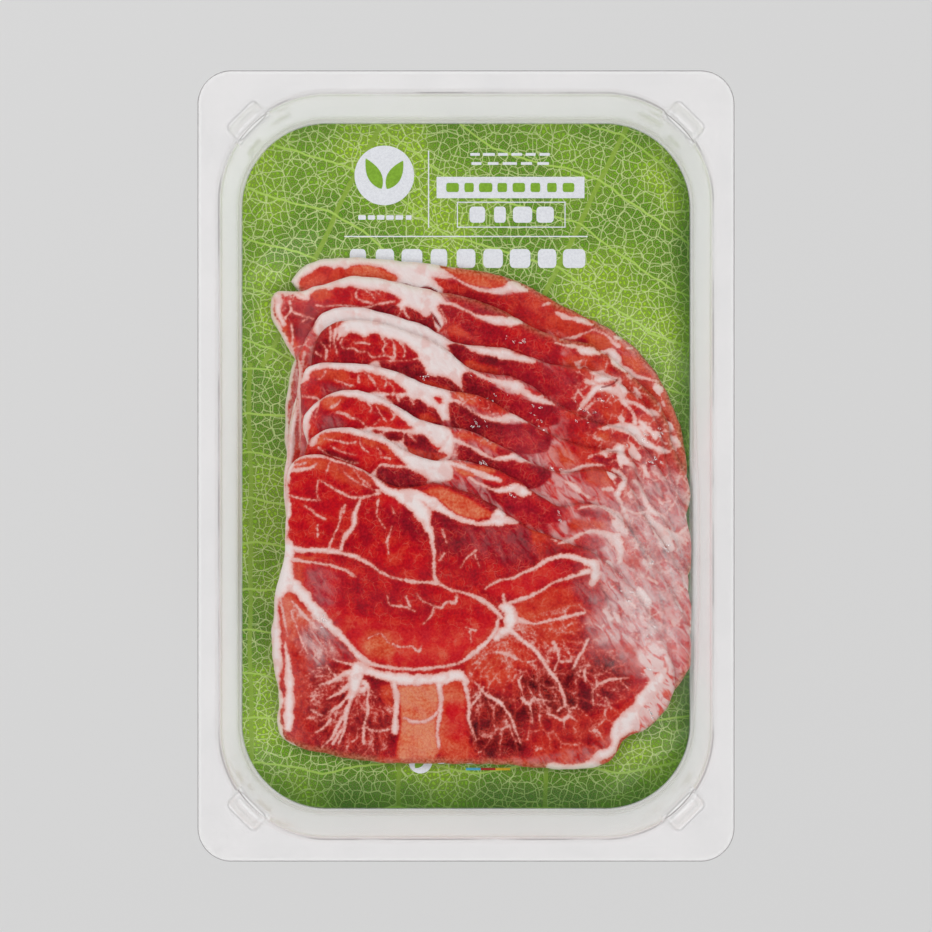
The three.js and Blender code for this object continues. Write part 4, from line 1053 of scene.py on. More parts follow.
         (.8, .86, .14, 2, (-5, 9.8, -1, 9.6, 4, 8.6, 9, 6.6, 9, 3.6, 4, 5.8, -1, 7.6)),
         (.4, .3, 0, 2, (8.6, 4.6, 12.4, 4.8, 13.6, 3.2, 10, 1.9))]},
    {"plates": [
         (-44, 5, -42, 10.4, -35, 12, -24, 10, -17, 5, -5, 2, -4, -4, -26, -3, -44, 0)],
     "pockets": [
         (.58, .54, 0, (-49, -2, -48.6, 2, -46, 4.4, -42.6, 6.3, -41.4, 8.2, -38, 9.5, -35.6, 9.6, -32,
          8.7, -28, 7.7, -24.4, 6.8, -22.4, 6, -21.3, 4.8, -19.6, 3, -18.2, 1.6, -17, .3, -20, .2, -24, .5,
          -27, -2)),
         (.34, .22, .08, (-25, -.7, -21, -.2, -17.5, -.8, -14.5, -1.4, -10.4, -4, -14, -6, -24, -5)),
         (.42, .36, 0, (5, -3, 12, -1.4, 17, -3.4, 24, -9, 30, -14, 20, -16, 8, -9))],
     "fat": [
         (-8, 1, 2, -4, .8, 1, 0, -.6, .7, 4, -2.2, .8, 8, -3.6, .9, 10, -4.2, .3),
         (1, -3.4, .5, 5, -5.6, .5, 8.5, -6.8, .7, 11.5, -6.6, 1, 14, -6, 1.3, 16, -7.2, 1.5, 17.8, -7.8,
          .7),
         (-39.5, 7.8, .25, -36, 7, .3, -33.5, 6.4, .2, -31, 6.6, .2),
         (-30, 7.4, .2, -29.2, 5.2, .25, -27.5, 3.8, .2), (-25, 5.5, .15, -24, 3.6, .2),
         (-38, 5.6, .2, -35.4, 4.2, .25, -31, 3, .2),
         (-41.5, 5, .25, -38, 2.8, .25, -33.6, 1.4, .3, -30.4, .8, .2), (-24, 2.6, .15, -21.5, 2, .15)],
     "tones": [
         (.74, .86, .08, 1.6, (-43, 6.6, -41.6, 8.8, -37, 9.8, -35, 8.4, -39, 6.4)),
         (.66, .88, .05, 1.6, (-30, 8.2, -24, 6.8, -20.4, 4.4, -23, 4.4, -28, 6)),
         (.36, .3, .05, 1.6, (-41, 4.6, -36, 4, -30, 1.2, -31.6, .2, -37, 2.4)),
         (.66, .5, 0, 2, (-40, 6, -30, 5.6, -22, 2.4, -20, .4, -30, 1.8)),
         (.86, .92, .12, 1.2, (-5.6, 1.6, -2, 1, 3, .2, 8, -.6, 8.6, -3.2, 4, -2.8, 0, -3, -4, -.6)),
         (.7, .52, 0, 1.6, (4, -2.6, 8, -2.2, 12, -2.2, 10, -5, 6, -5)),
         (.36, .22, .05, 2, (10, -9, 14, -9, 22, -14, 24, -18, 14, -15))]},
]
frontBand = {
    "fat": [
        (-49.5, .6, .3, -46, 2.5, .5, -41.5, 3, .6, -38, 1.9, .5, -34, .6, .4, -29.5, -1, .45, -26, -3, .5),
        (-51.5, -1.4, .6, -47, -1, .5, -43.5, -.4, .5, -42, .6, .3), (-48, .4, .3, -45, .6, .25),
        (-38.6, .8, .25, -39, -1.6, .2), (-34.4, -1.4, .15, -32, -3.6, .2, -29.4, -5.4, .15),
        (-31.5, -1.4, .15, -29.5, -3.4, .2, -27, -5.4, .2), (-29, -5, .2, -26.4, -6.6, .25, -24, -7, .4)],
    "tones": [
        (.74, .84, .08, 1.4, (-50, 1.6, -44, 3.4, -38.6, 2.4, -38.4, -1.4, -43, -.6, -49, -1.6)),
        (.62, .76, .14, 2, (-37.6, 1.4, -28, -.8, -25, -4, -27, -6.4, -34, -5, -37, -3)),
        (.84, .9, .1, 1.4, (-12, -7, -5, -6, 0, -8, 5, -10.4, 7.6, -13.4, 5, -15, 0, -14.4, -5, -12, -9,
         -9.4)),
        (.34, .24, .05, 2, (-6, -5.6, 4, -8.8, 12, -14, 8, -13.4, 0, -8.4))],
}
# Pale knots and dark hollows of the right-hand side, where the ends of all slices lie close together; the
# dark lines in the hollows are painted shade
sideMarks = {
    "fat": [
        (21.8, 45.8, .3, 23.6, 46.3, .5),
        (25.4, 43.8, .3, 26.8, 43.2, .6, 28.6, 42.2, .7, 30.4, 42, .5, 32.4, 41.4, .7, 34.5, 40.7, .6,
         36.2, 40.2, .3),
        (37, 39.2, .35, 34.5, 38.1, .4, 31.4, 36.9, .4, 27, 36, .25),
        (37, 38.7, .3, 39.5, 37.6, .35, 41.6, 35.6, .5, 43.4, 34, .7), (42.8, 36.6, .6, 44.2, 36.4, .5),
        (45.6, 33.6, .4, 47.3, 33.5, .35),
        (25.5, 35, .25, 28.5, 34.3, .45, 31, 33.8, .7, 33, 32.9, 1.1, 35.6, 32.6, 1.2, 37.8, 31.9, .5),
        (38.8, 32.4, .5, 40.8, 32.6, 1, 42.3, 31.4, 1.7, 42.8, 29.4, 1.4, 44.6, 27.8, 1, 46.6, 27, .8, 48,
         25.6, .7, 51, 24.9, .6, 54.6, 24, .35),
        (31.8, 15.9, .35, 33.2, 17.6, .6, 35.2, 19.8, .8, 36.8, 21.8, 1.2, 39.8, 22.1, 1, 42.6, 21.4, 1,
         43.6, 23.6, .8, 43.8, 25.4, .4),
        (37.5, 24.6, 1.3, 40, 24.9, 1.2, 42.8, 24.9, .6), (36, 26.3, .7, 39, 26.5, .7),
        (34, 24, .6, 36.4, 23.4, .8),
        (43.6, 20.6, .9, 44.6, 18.4, .7, 46.4, 16.4, .6, 47.6, 14.4, .6, 47.8, 12.2, .9),
        (45, 18.6, .6, 48, 17.6, .5, 50.5, 16.2, .8, 53, 15.2, .9, 54.8, 14.4, .35),
        (38.8, 10.6, .5, 41.5, 11.2, .9, 45.5, 10.8, 1.6, 47.8, 10, 1.8, 49.5, 7.8, 1.5, 52.5, 5.6, 1,
         55.5, 4.6, .9, 57.6, 3.9, .6),
        (38.5, 4, .5, 41.5, 4.4, .9, 43.5, 5, 1.5, 44, 3, 1, 45.8, 1.2, .7, 47.5, 0, .4),
        (34.6, 2.4, .25, 37, 3.4, .3, 40, 3.4, .3),
        (27, -1.9, .35, 30, -1.1, .5, 33, -.1, .6, 36, .3, .5, 39, .1, .35),
        (41.6, -1.2, .5, 43.6, -2.2, .9, 44.8, -4, .8, 43.6, -6.4, 1.2, 42.6, -8.4, .9, 44, -10.4, .6),
        (38.5, -6.4, .3, 41, -6.6, .6), (27.8, -4.2, .3, 29.2, -5, .6, 31.4, -6.6, .9, 32.6, -7.4, .5),
        (33, -7.6, .35, 34.6, -8.8, .6),
        (47, -4, .4, 49, -5.5, .6, 50.5, -9, .7, 52, -12.2, .8, 54.5, -13.5, .7, 56.6, -15, .4),
        (45, -12, .4, 48, -13.4, .5, 51.5, -13, .6),
        (31.6, -12, .3, 34.5, -11.4, .4, 38, -11.5, .5, 41, -12.8, .8, 42.8, -14.5, 1.4, 43.6, -17, 1),
        (26, -21.8, .3, 29.5, -20.8, .5, 32, -19.4, .5, 35.5, -18.4, .5, 38.4, -18.8, .6, 40.6, -20, 1.2,
         42.6, -21.4, 1.7, 43.4, -24, 1.2, 43.4, -27, .7),
        (40.6, -19.4, .8, 43, -19.6, .8), (24, -20.6, .2, 25.6, -21, .25),
        (51.5, -25.6, .5, 52.3, -27.6, .7), (51.4, -31.6, .5, 54, -33, .6),
        (46.6, -38.4, .6, 47.6, -40, .6), (39.4, -41, .7, 40.6, -43, 1),
        (59, -20, .6, 61.5, -18.6, .7, 62.8, -17, .4), (60, -29.6, .3, 61.8, -30.2, .4),
        (60, -4, .25, 59.6, -9, .3, 56.5, -13.6, .35)],
    # Darker lines of painted shade in the hollows between the crumpled ends
    "hollowShade": [
        (46, -8, .2, 50, -14, .2, 55, -22, .22, 58, -30, .22, 59.6, -38, .2),
        (44, -12, .15, 47.6, -20, .2, 51.6, -28, .2, 55, -37, .2, 56.6, -47, .2),
        (42, -33, .2, 47, -39, .22, 52.6, -44, .2), (53, -4, .2, 57, -12, .2, 60, -22, .2),
        (37.8, -33, .18, 40, -38, .2, 41.4, -45, .18), (47, -28, .15, 50, -38, .18, 52.6, -50, .15)],
    "bloodAndShade": [
        (38.4, 22.3, .18, 40.6, 22.9, .2, 42.2, 23.6, .2, 43.3, 24.8, .15), (39, -20, .1, 40.4, -22, .1)],
    "tones": [
        (.55, .7, .08, 7, (16, 50, 24, 48, 37, 40, 40, 33, 28, 35, 20, 41)),
        (.5, .56, .1, 8, (28, 33, 46, 32, 60, 14, 62, -6, 40, -8, 28, 6)),
        (.6, 1, .12, 1.5, (32.5, 37.9, 36, 37.4, 39.6, 37, 42.4, 35.2, 40.4, 33.4, 37, 33.2, 34.6, 34.8,
         33, 36.3)),
        (.4, .45, .05, 1.5, (30.4, 36.8, 33.4, 36.6, 34.6, 35, 32, 35)),
        (.62, .96, .12, 1.2, (44.6, 31.6, 48, 30.6, 49.4, 29, 46.6, 28.6, 44.8, 29.6)),
        (.62, .96, .12, 1.2, (47.6, 28.2, 50, 28.8, 52, 26.8, 50, 25.8, 48.4, 26.4)),
        (.62, .9, .25, 2, (43.6, 36, 47, 33.4, 50, 29.4, 47, 31, 44.4, 33)),
        (.56, .8, .18, 4, (28, 30, 36, 31, 41, 27, 34, 25.4, 28, 27)),
        (.42, .32, .1, 4, (22, 26, 34, 25, 33, 17, 26, 18)),
        (.62, .7, .3, 3, (33, 25, 44, 26, 47, 18, 38, 20)),
        (.66, .68, .12, 2.5, (36, 17.4, 39, 18.8, 42, 18.8, 44.6, 17.4, 46, 15, 45, 13, 42, 12.2, 39.4, 13,
         37, 15)),
        (.34, .2, .18, 2, (32.4, 16, 35, 16.8, 38, 15, 39, 12.4, 36.6, 11.4, 33, 13.4)),
        (.62, .74, .14, 2, (48.6, 14, 52, 13.6, 54.6, 12, 55.6, 9, 53.4, 8.4, 51.4, 7.3, 49.6, 8.3, 48.8,
         10.6)),
        (.7, .66, .05, 1.5, (49.4, 18.8, 51, 18.6, 52.6, 17.4, 51, 16.4, 49.2, 17)),
        (.64, .74, .2, 3, (45, 26, 50, 24.4, 48.4, 19.6, 45, 19)),
        (.48, .86, .18, 5, (50, 25, 55, 24, 62.6, 8, 62.6, -6, 59, 2, 54, 16)),
        (.66, .86, .25, 2.5, (37.6, 9.4, 42, 8.4, 46.6, 6.6, 47, 4.6, 42, 5.4, 37.4, 7)),
        (.72, .86, .36, 3, (23.6, 5.2, 26, 5.6, 28.2, 4.6, 30.4, 2.4, 31.4, .8, 29, -.6, 26.8, 0, 24.8, 2)),
        (.3, .2, .1, 1.6, (35.6, 2.2, 39, 2.6, 43, 1.6, 46.4, -.4, 46, -2, 42, -.8, 38, .6)),
        (.66, .84, .2, 3, (33, -.6, 40, -.6, 41.4, -4.6, 35, -4.6)),
        (.34, .24, .1, 1.6, (31.4, -12.4, 35, -12.4, 39.4, -13, 41, -15.4, 36, -14.8, 32.6, -14.2)),
        (.6, .8, .18, 2, (30, -15, 36, -15.6, 40.6, -16.6, 38, -18, 33, -17.8, 29, -18.6)),
        (.46, .3, .1, 1.8, (31.4, -20.4, 35.4, -19.4, 38.6, -20.6, 39, -22.4, 35, -24, 31, -23.4)),
        (.62, .74, .2, 3, (44, -6, 49, -8, 51, -12, 46, -11, 43.6, -9)),
        (.6, .72, .24, 3, (45, -15, 49, -17, 50, -28, 45.6, -27)),
        (.52, .48, .5, 6, (47, 2, 58, 0, 62.6, -6, 62.6, -30, 52, -30, 48, -14))],
}
sideNets = [
    ((0, 0), (40, 32, 63, 10, 63, -50, 44, -50, 36, -30, 42, -6, 30, 12, 28, 30), None, None, 21, .06, .2),
]

# The pile of slices

pile = {
    "thickness": 1.8,
    "pitch": 2.1,  # from one slice's underside to the next one's
    "base": linerHigh[2] + 0.3,
    "drapeStart": 2.5,  # a slice comes down past the edge of the one below, from here
    "drapeRun": 8.5,  # over this distance
    "wallLimit": 64.1,  # no slice reaches further to the right
    "wobble": 0.35,  # unevenness of the cut edge
    "edgeRound": 1.5,  # a slice is rounded this far in from its edge
    "cell": 0.35,  # mesh width where a slice shows
    "block": 5,  # cells to a side of a face where it doesn't
    "undulation": 0.16,
    "fanWidth": 0.62,  # of the lower right fan's strokes, as a share of what was laid out
}
farAway = 2.0  # what a painted distance is far from any mark, in mm
upperEdges = (
    (-50, 52.5, -45, 57.6, -35, 59.4, -20, 58.6, -5, 57, 13, 53.3, 27, 46, 44, 37, 56, 23.5, 62.5, 4),
    (-55.5, 43, -54.5, 49.2, -47, 49.8, -31, 53.8, -12, 50.6, 6, 46.2, 26, 36.4, 36, 34.4, 50, 23, 57, 14),
    (-44, 39, -41, 43.2, -35, 45.2, -28, 44.7, -12, 39.8, -2, 34.8, 11, 33.6, 24, 29, 38, 26.4, 53, 15),
    (-42, 36, -39, 39.8, -33, 41.5, -22, 40, -8, 34.6, 2, 27.4, 15, 24.5, 26, 17.6, 36, 12.6, 46, 10),
    (-46.5, 24.5, -45, 28, -35, 29.3, -22, 27.3, -8, 22, 4, 19.8, 12, 15.6, 24, 9, 36, 4.8, 46, 3),
    (-46, 13, -43, 17.5, -35, 21.4, -26, 20.2, -12, 12.8, 2, 9.6, 12, 4.5, 26, -1.8, 38, -1, 46, -5),
    (-45.5, 4, -42, 9.1, -35, 10.9, -24, 8.3, -13, 2.6, 3, .8, 14.5, -4, 26, -11.4, 34, -10.6, 42, -13.5),
    (-50, -1, -47.5, 1.9, -41, 3.4, -30, -.6, -19, -6, -8, -5, 6, -10, 16, -16.4, 28, -21.5),
)
shifts = ((3.5, 61), (4.5, 53), (3.5, 44.5), (6, 36.5), (4, 27), (5.5, 18), (5, 8.5), (0, 0))
lowerOutline = (36, -24.5, 45, -32, 54, -46, 59, -58, 58.5, -66, 52, -74.5, 45.5, -77.3, 41, -84, 30, -86.4,
                8, -85, -24, -84.5, -36, -82.9, -52.6, -77.2, -53.4, -66, -55.2, -52, -54, -37, -51.5, -27,
                -50.6, -12)
sliceCount = len(upperEdges)


def pairs(flat, width=2):
    return np.array(flat, float).reshape(-1, width)


def sliceOutline(k):
    upper, lower = pairs(upperEdges[k]), pairs(lowerOutline) + shifts[k]
    middle = (upper[0, 0] + upper[-1, 0]) / 2
    below = lower[:, 1] < np.where(lower[:, 0] > middle, upper[-1, 1], upper[0, 1]) - 2.5
    points = np.vstack([upper, lower[below]])
    points[:, 0] = np.minimum(points[:, 0], pile["wallLimit"])
    curve = evenly(flowing(points, closed=True, steps=16), 1.1)
    ahead = np.roll(curve, -1, axis=0) - np.roll(curve, 1, axis=0)
    side = np.column_stack([ahead[:, 1], -ahead[:, 0]]) / np.hypot(*ahead.T)[:, None]
    curve += side * (pile["wobble"] * fractal(curve[:, 0], curve[:, 1], 5, 40 + k))[:, None]
    curve[:, 0] = np.minimum(curve[:, 0], pile["wallLimit"])
    return curve


outlines = [sliceOutline(k) for k in range(sliceCount)]
nearMap = Map((-60, -88), (66, 64), 0.5)
distances = [signedDistance(outline, nearMap.x, nearMap.y) for outline in outlines]
wideMap = Map((-70, -106), (70, 106), 1.25)
presences = [1 - smooth(0, pile["drapeRun"], away - pile["drapeStart"])
             for away in (signedDistance(outline, wideMap.x, wideMap.y) for outline in outlines)]
print("outlines ready")


def stackHeight(count, x, y):
    total = np.full(np.shape(x), float(pile["base"]))
    for k in range(count):
        total = total + pile["pitch"] * wideMap.readSoft(presences[k], x, y)
    return total


# Painting the marbling on an even grid

paintMap = Map((-59, -86.5), (64.5, 62), 0.25)


def windowOf(points, margin):
    low = ((points.min(0)[:2] - margin - paintMap.low) / paintMap.step).astype(int)
    high = ((points.max(0)[:2] + margin - paintMap.low) / paintMap.step).astype(int) + 1
    low, high = np.maximum(low, 0), np.minimum(high, paintMap.shape)
    return slice(low[0], high[0]), slice(low[1], high[1])


def paintStrokes(field, strokes, scale=1.0):
    # Lowers field to the distance from the strokes' edges, negative inside them
    for flat in strokes:
        line = flowing(pairs(flat, 3), steps=4)
        line[:, 0] += 0.22 * noise(line[:, 0], line[:, 1], 2.3, 71)
        line[:, 1] += 0.22 * noise(line[:, 0], line[:, 1], 2.3, 72)
        line[:, 2] *= scale * (1 + 0.3 * noise(line[:, 0], line[:, 1], 1.7, 73))
        for (ax, ay, ar), (bx, by, br) in zip(line, line[1:]):
            part = windowOf(np.array([(ax, ay), (bx, by)]), max(ar, br) + farAway + 0.2)
            x, y = paintMap.x[part], paintMap.y[part]
            ex, ey = bx - ax, by - ay
            t = np.clip(((x - ax) * ex + (y - ay) * ey) / (ex * ex + ey * ey + 1e-9), 0, 1)
            away = np.hypot(x - ax - t * ex, y - ay - t * ey) - ar - t * (br - ar)
            field[part] = np.minimum(field[part], away)


def patchDistance(flat, margin):
    # The part of the map round a patch, and the distance to its smoothed outline there
    line = flowing(pairs(flat), closed=True, steps=4)
    line = line + 0.35 * np.column_stack([noise(line[:, 0], line[:, 1], 1.9, seed) for seed in (74, 75)])
    part = windowOf(line, margin)
    return part, signedDistance(line, paintMap.x[part], paintMap.y[part])


def paintPlates(field, plates):
    for flat in plates:
        part, away = patchDistance(flat, 2)
        field[part] = np.minimum(field[part], away)


def tintPart(colours, part, values, share):
    for channel, value in zip(colours, values):
        channel[part] += (value - channel[part]) * share


def paintTones(colours, tones):
    # Each is tone, warmth, haze, softness of its border, patch
    for *values, soft, flat in tones:
        part, away = patchDistance(flat, soft)
        uneven = away + 0.25 * soft * noise(paintMap.x[part], paintMap.y[part], 3, 76)
        tintPart(colours, part, values, smooth(soft / 2, -soft / 2, uneven))


def paintNets(field, nets, colours=None):
    # Lines between cells; with colours, the meat inside a cell is darker and along the lines warmer
    x, y = paintMap.x, paintMap.y
    sway = 1.3 * fractal(x, y, 8, 81), 1.3 * fractal(x, y, 8, 82)
    for centre, flat, wedge, ratio, seed, thickness, spread in nets:
        part, away = patchDistance(flat, 6)
        px, py = x[part] + sway[0][part] - centre[0], y[part] + sway[1][part] - centre[1]
        if wedge:
            reach = np.hypot(px, py) + 0.5
            edges = cellEdges(np.arctan2(py, px) / wedge, np.log(reach) / ratio, seed) * reach * wedge
        else:
            edges = cellEdges(px / 3.4 + 50, py / 3.4 + 50, seed) * 3.4
        half = thickness + spread * fractal(x[part], y[part], 5, seed + 1)
        lines = np.maximum(edges - half, -0.1) + 2 * smooth(-2.5, 0.5, away)
        field[part] = np.minimum(field[part], lines)
        if colours:
            inNet = smooth(0.5, -2.5, away)
            inCell = smooth(0.1, 0.5, edges)
            colours[0][part] += (0.06 - 0.13 * inCell) * inNet
            colours[1][part] += 0.12 * (1 - inCell) * inNet


def emptyPaint():
    shape = paintMap.shape
    colours = [np.full(shape, .5), np.full(shape, .5), np.zeros(shape)]
    return np.full(shape, farAway), colours, np.full(shape, farAway)


# Thin threads of fat in the meat of the slices behind: where, half width and how much it varies, in mm
bandNet = {
    "patch": (-54, 58, -30, 62, -6, 58, 4, 30, 12, 10, -4, -4, -30, 0, -50, 2),
    "half": 0.06,
    "spread": 0.2,
}
rindWidth = 1.1
# Clumps of fat on the right side run the way its creases do
clump = {"size": 4.2, "stretch": 2.2, "turn": -52, "least": 0.36}
creaseTurn = (0, 0, np.radians(clump["turn"]))


def buildPaints():
    # fat, (tone, warmth, haze) and blood of every slice, with painted shade in its slits
    sideFat, _, sideBloodAndShade = emptyPaint()
    paintStrokes(sideFat, sideMarks["fat"])
    x, y = paintMap.x, paintMap.y
    hollowShade = np.full(paintMap.shape, farAway)
    paintStrokes(hollowShade, sideMarks["hollowShade"])
    paintNets(sideFat, sideNets)
    paintStrokes(sideBloodAndShade, sideMarks["bloodAndShade"])
    paints = []
    for k, marks in enumerate(bandMarks):
        fat, colours, bloodAndShade = emptyPaint()
        paintNets(fat, [((0, 0), bandNet["patch"], None, None, 200 + k, bandNet["half"], bandNet["spread"])])
        # Behind, the meat is veiled more and warmer towards the right, and darkest in between
        colours[2][:] = .4 + .16 * smooth(-15, 15, x)
        colours[0][:] = .66 - .08 * smooth(-15, 5, x) * smooth(35, 15, x)
        colours[1][:] = .42 + .1 * smooth(20, 40, x) - .08 * smooth(-15, 0, x) * smooth(30, 10, x)
        paintTones(colours, sideMarks["tones"])
        paintPlates(fat, marks["plates"])
        for *values, flat in marks["pockets"]:
            part, away = patchDistance(flat, 2)
            fat[part] = np.maximum(fat[part], -away)
            tintPart(colours, part, values, smooth(0.6, -0.2, away) * smooth(34, 22, x[part]))
        paintStrokes(fat, marks["fat"])
        paintTones(colours, marks["tones"])
        colours[0] += 0.4 * (0.68 - colours[0]) * smooth(5, 15, x)
        fat = np.minimum(fat, sideFat)
        if "bloodAndShade" in marks:
            paintStrokes(bloodAndShade, marks["bloodAndShade"])
        paints.append([fat, colours, np.minimum(bloodAndShade, sideBloodAndShade)])
    fat, colours, bloodAndShade = emptyPaint()
    colours[0][:] = .52
    paintTones(colours, frontMarks["tones"] + frontBand["tones"])
    paintNets(fat, frontNets, colours)
    paintPlates(fat, frontMarks["plates"])
    fan = [s for s in frontMarks["fat"] if max(s[1::3]) < -53 and min(s[::3]) > 2]
    paintStrokes(fat, fan, pile["fanWidth"])
    paintStrokes(fat, [s for s in frontMarks["fat"] if s not in fan] + frontBand["fat"])
    paints.append([np.minimum(fat, sideFat), colours, np.minimum(bloodAndShade, sideBloodAndShade)])
    cos, sin = np.cos(np.radians(clump["turn"])), np.sin(np.radians(clump["turn"]))
    for k, (fat, colours, bloodAndShade) in enumerate(paints):
        # The rind along the left side of every slice
        away = -nearMap.read(distances[k], x, y)
        rind = away - rindWidth * (1 + 0.8 * fractal(x, y, 4, 95 + k)) + 6 * smooth(-49, -46, x)
        fat[:] = np.minimum(fat, np.maximum(rind, -0.9))
        # Clumps of fat that flow down the right side, longer than they are wide
        clumps = 3 * (clump["least"] - fractal((cos * x + sin * y) / clump["stretch"], cos * y - sin * x,
                                               clump["size"], 130 + k))
        inside = smooth(33, 40, x) * smooth(30, 22, y) * smooth(-56, -46, y)
        fat[:] = np.minimum(fat, np.maximum(clumps, -0.8) + 6 * (1 - inside))
        # Painted shade: darker lines in the hollows between the crumpled ends on the right side
        part = hollowShade < 1
        colours[0][part] -= 0.3 * smooth(0.5, -0.1, hollowShade[part])
        colours[0] += 0.05 * fractal(x, y, 9, 91)
        colours[1] += 0.04 * fractal(x, y, 11, 92)
    return paints


paints = buildPaints()
print("marbling ready")


def readPaint(k, x, y):
    fat, (tone, warm, haze), bloodAndShade = paints[k]
    return [paintMap.read(values, x, y) for values in (fat, tone, warm, haze, bloodAndShade)]


def buildSlice(k, material):
    cell, block = pile["cell"], pile["block"]
    low, high = outlines[k].min(0) - 1, outlines[k].max(0) + 1
    blocks = np.ceil((high - low) / (cell * block)).astype(int)
    across, up = blocks * block + 1
    x, y = np.meshgrid(low[0] + cell * np.arange(across), low[1] + cell * np.arange(up), indexing="ij")
    away = nearMap.read(distances[k], x, y)
    # Points near the outline move onto it, so the cut edge is smooth
    onEdge = np.abs(away) <= cell / 2
    step = 0.3
    reads = [[nearMap.read(distances[k], x + way * dx, y + way * dy) for way in (1, -1)]
             for dx, dy in ((step, 0), (0, step))]
    slopeX, slopeY = ((ahead - behind) / (2 * step) for ahead, behind in reads)
    x = np.where(onEdge, x - away * slopeX, x)
    y = np.where(onEdge, y - away * slopeY, y)
    inside = away <= cell / 2
    inner = away < -cell / 2

    ids = np.arange(x.size).reshape(x.shape)
    corners = np.stack([ids[:-1, :-1], ids[1:, :-1], ids[1:, 1:], ids[:-1, 1:]], axis=-1)
    held = inside.ravel()[corners]

    def perBlock(values):
        # True for a block when it is for all of its points, those on its border included
        tiles = [values[i:i + across - 1, j:j + up - 1] for i in (0, 1) for j in (0, 1)]
        together = np.logical_and.reduce(tiles).reshape(blocks[0], block, blocks[1], block)
        return together.all(axis=(1, 3))

    whole = perBlock(inner)
    cover = np.full(x.shape, 9.0)
    for j in range(k + 1, sliceCount):
        cover = np.minimum(cover, nearMap.read(distances[j], x, y))
    hidden = whole & perBlock(cover < -2)

    def facesOf(coarse):
        fine = ~np.repeat(np.repeat(coarse, block, 0), block, 1)
        quads = corners[fine & held.all(-1)]
        three = fine & (held.sum(-1) == 3)
        triangles = corners[three][held[three]].reshape(-1, 3)
        large = []
        padded = np.pad(coarse, 1)
        for bi, bj in np.argwhere(coarse):
            i, j = bi * block, bj * block
            loop = []
            sides = ((i, j, 1, 0, padded[bi + 1, bj]), (i + block, j, 0, 1, padded[bi + 2, bj + 1]),
                     (i + block, j + block, -1, 0, padded[bi + 1, bj + 2]),
                     (i, j + block, 0, -1, padded[bi, bj + 1]))
            for si, sj, di, dj, alike in sides:
                loop += [ids[si + di * n, sj + dj * n] for n in range(1 if alike else block)]
            large.append(np.array(loop))
        return quads, triangles, large

    quads, triangles, large = facesOf(hidden)
    underQuads, underTriangles, underLarge = facesOf(whole)
    edges = np.vstack([np.column_stack([f[:, i], f[:, (i + 1) % f.shape[1]]])
                       for f in (quads, triangles) for i in range(f.shape[1])])
    keys = np.sort(edges, axis=1) @ np.array([x.size, 1])
    _, first, count = np.unique(keys, return_index=True, return_counts=True)
    rim = edges[first[count == 1]]
    rim = rim[onEdge.ravel()[rim].all(axis=1)]
    down = x.size
    walls = np.column_stack([rim[:, 0] + down, rim[:, 1] + down, rim[:, 1], rim[:, 0]])

    x, y, away = x.ravel(), y.ravel(), np.minimum(away.ravel(), 0)
    away[onEdge.ravel()] = 0
    fat, tone, warm, haze, bloodAndShade = readPaint(k, x, y)
    # Where the slices in front cover it, the slice shows its own marbling, as the front one does
    own = readPaint(sliceCount - 1, x - shifts[k][0], y - shifts[k][1])
    shown = smooth(-4, -1.5, cover.ravel())
    fat, tone, warm, haze, bloodAndShade = (a * shown + b * (1 - shown)
                                    for a, b in zip((fat, tone, warm, haze, bloodAndShade), own))
    under = stackHeight(k, x, y)
    inward = np.clip(-away / pile["edgeRound"], 0, 1)
    rounding = 0.16 + 0.84 * np.sqrt(1 - (1 - inward) ** 2)
    relief = pile["undulation"] * fractal(x, y, 7, 50 + k) + 0.05 * fractal(x, y, 1.6, 60 + k)
    relief += 0.07 * smooth(0.3, -0.8, fat) - 0.12 * np.exp(-(fat / 0.35) ** 2)
    top = under + pile["thickness"] * rounding + np.minimum(relief, 0.24) * smooth(0, 1, inward)
    points = np.vstack([np.column_stack([x, y, top]), np.column_stack([x, y, under])])

    faces = [quads, triangles, walls, underQuads[:, ::-1] + down, underTriangles[:, ::-1] + down]
    faces += large + [f[::-1] + down for f in underLarge]
    used, renumbered = np.unique(np.concatenate([np.ravel(f) for f in faces]), return_inverse=True)
    cuts = np.cumsum([f.size for f in faces])[:-1]
    faces = [part.reshape(f.shape) for part, f in zip(np.split(renumbered, cuts), faces)]
    piece = meshPiece(f"slice{k + 1}", points[used], faces, f"slice_{k + 1}", material)
    twice = [np.tile(values, 2)[used] for values in (fat, tone, warm, haze, bloodAndShade, away)]
    fat, tone, warm, haze, bloodAndShade, away = twice
    paintPoints(piece, "marble", [0.5 - fat / 4, tone, warm, haze])
    overCard = np.tile(smooth(3.6, 0.8, under - pile["base"]), 2)[used]
    paintPoints(piece, "cutEdge", [1 + away / 4, smooth(0.15, -0.15, bloodAndShade), overCard, 0 * away + 1])
    print(piece.name, len(piece.data.loops) - 2 * len(piece.data.polygons), "triangles")


meatLook = {
    "fat": ((0, "#DE8074"), (.13, "#EBADA4"), (.32, "#F2CFCA"), (.6, "#F5E1DE"), (1, "#F3E6E4")),
    "blush": "#E9AFA6",
    "red": ((0, "#42040A"), (.22, "#7C0812"), (.45, "#A80618"), (.68, "#CC0A18"), (1, "#E0302C")),
    "orange": ((.2, "#8E2410"), (.5, "#C83C1C"), (.75, "#DC5E32"), (1, "#E99A6E")),
    "purple": ((.1, "#5E0818"), (.5, "#9A1630"), (1, "#C04A60")),
    "nets": ((1.1, 0.24, 0.4, "#DA4634"), (3.4, 0.05, 0.35, "#E07A6A")),  # mm apart, width, strength, colour
    "halo": "#D64A3A",
    "veil": "#E8C3BF",
    # The dark red of the slits: blood and painted shade
    "bloodAndShade": "#8A0C14",
    "cutEdge": ("#9A4628", "#E2CFC0"),  # of meat and of fat
    "overCard": (((0.38, "#94541C"), (0.6, "#CE9A72")), "#E0D9C2"),  # the same where the card shows through
}


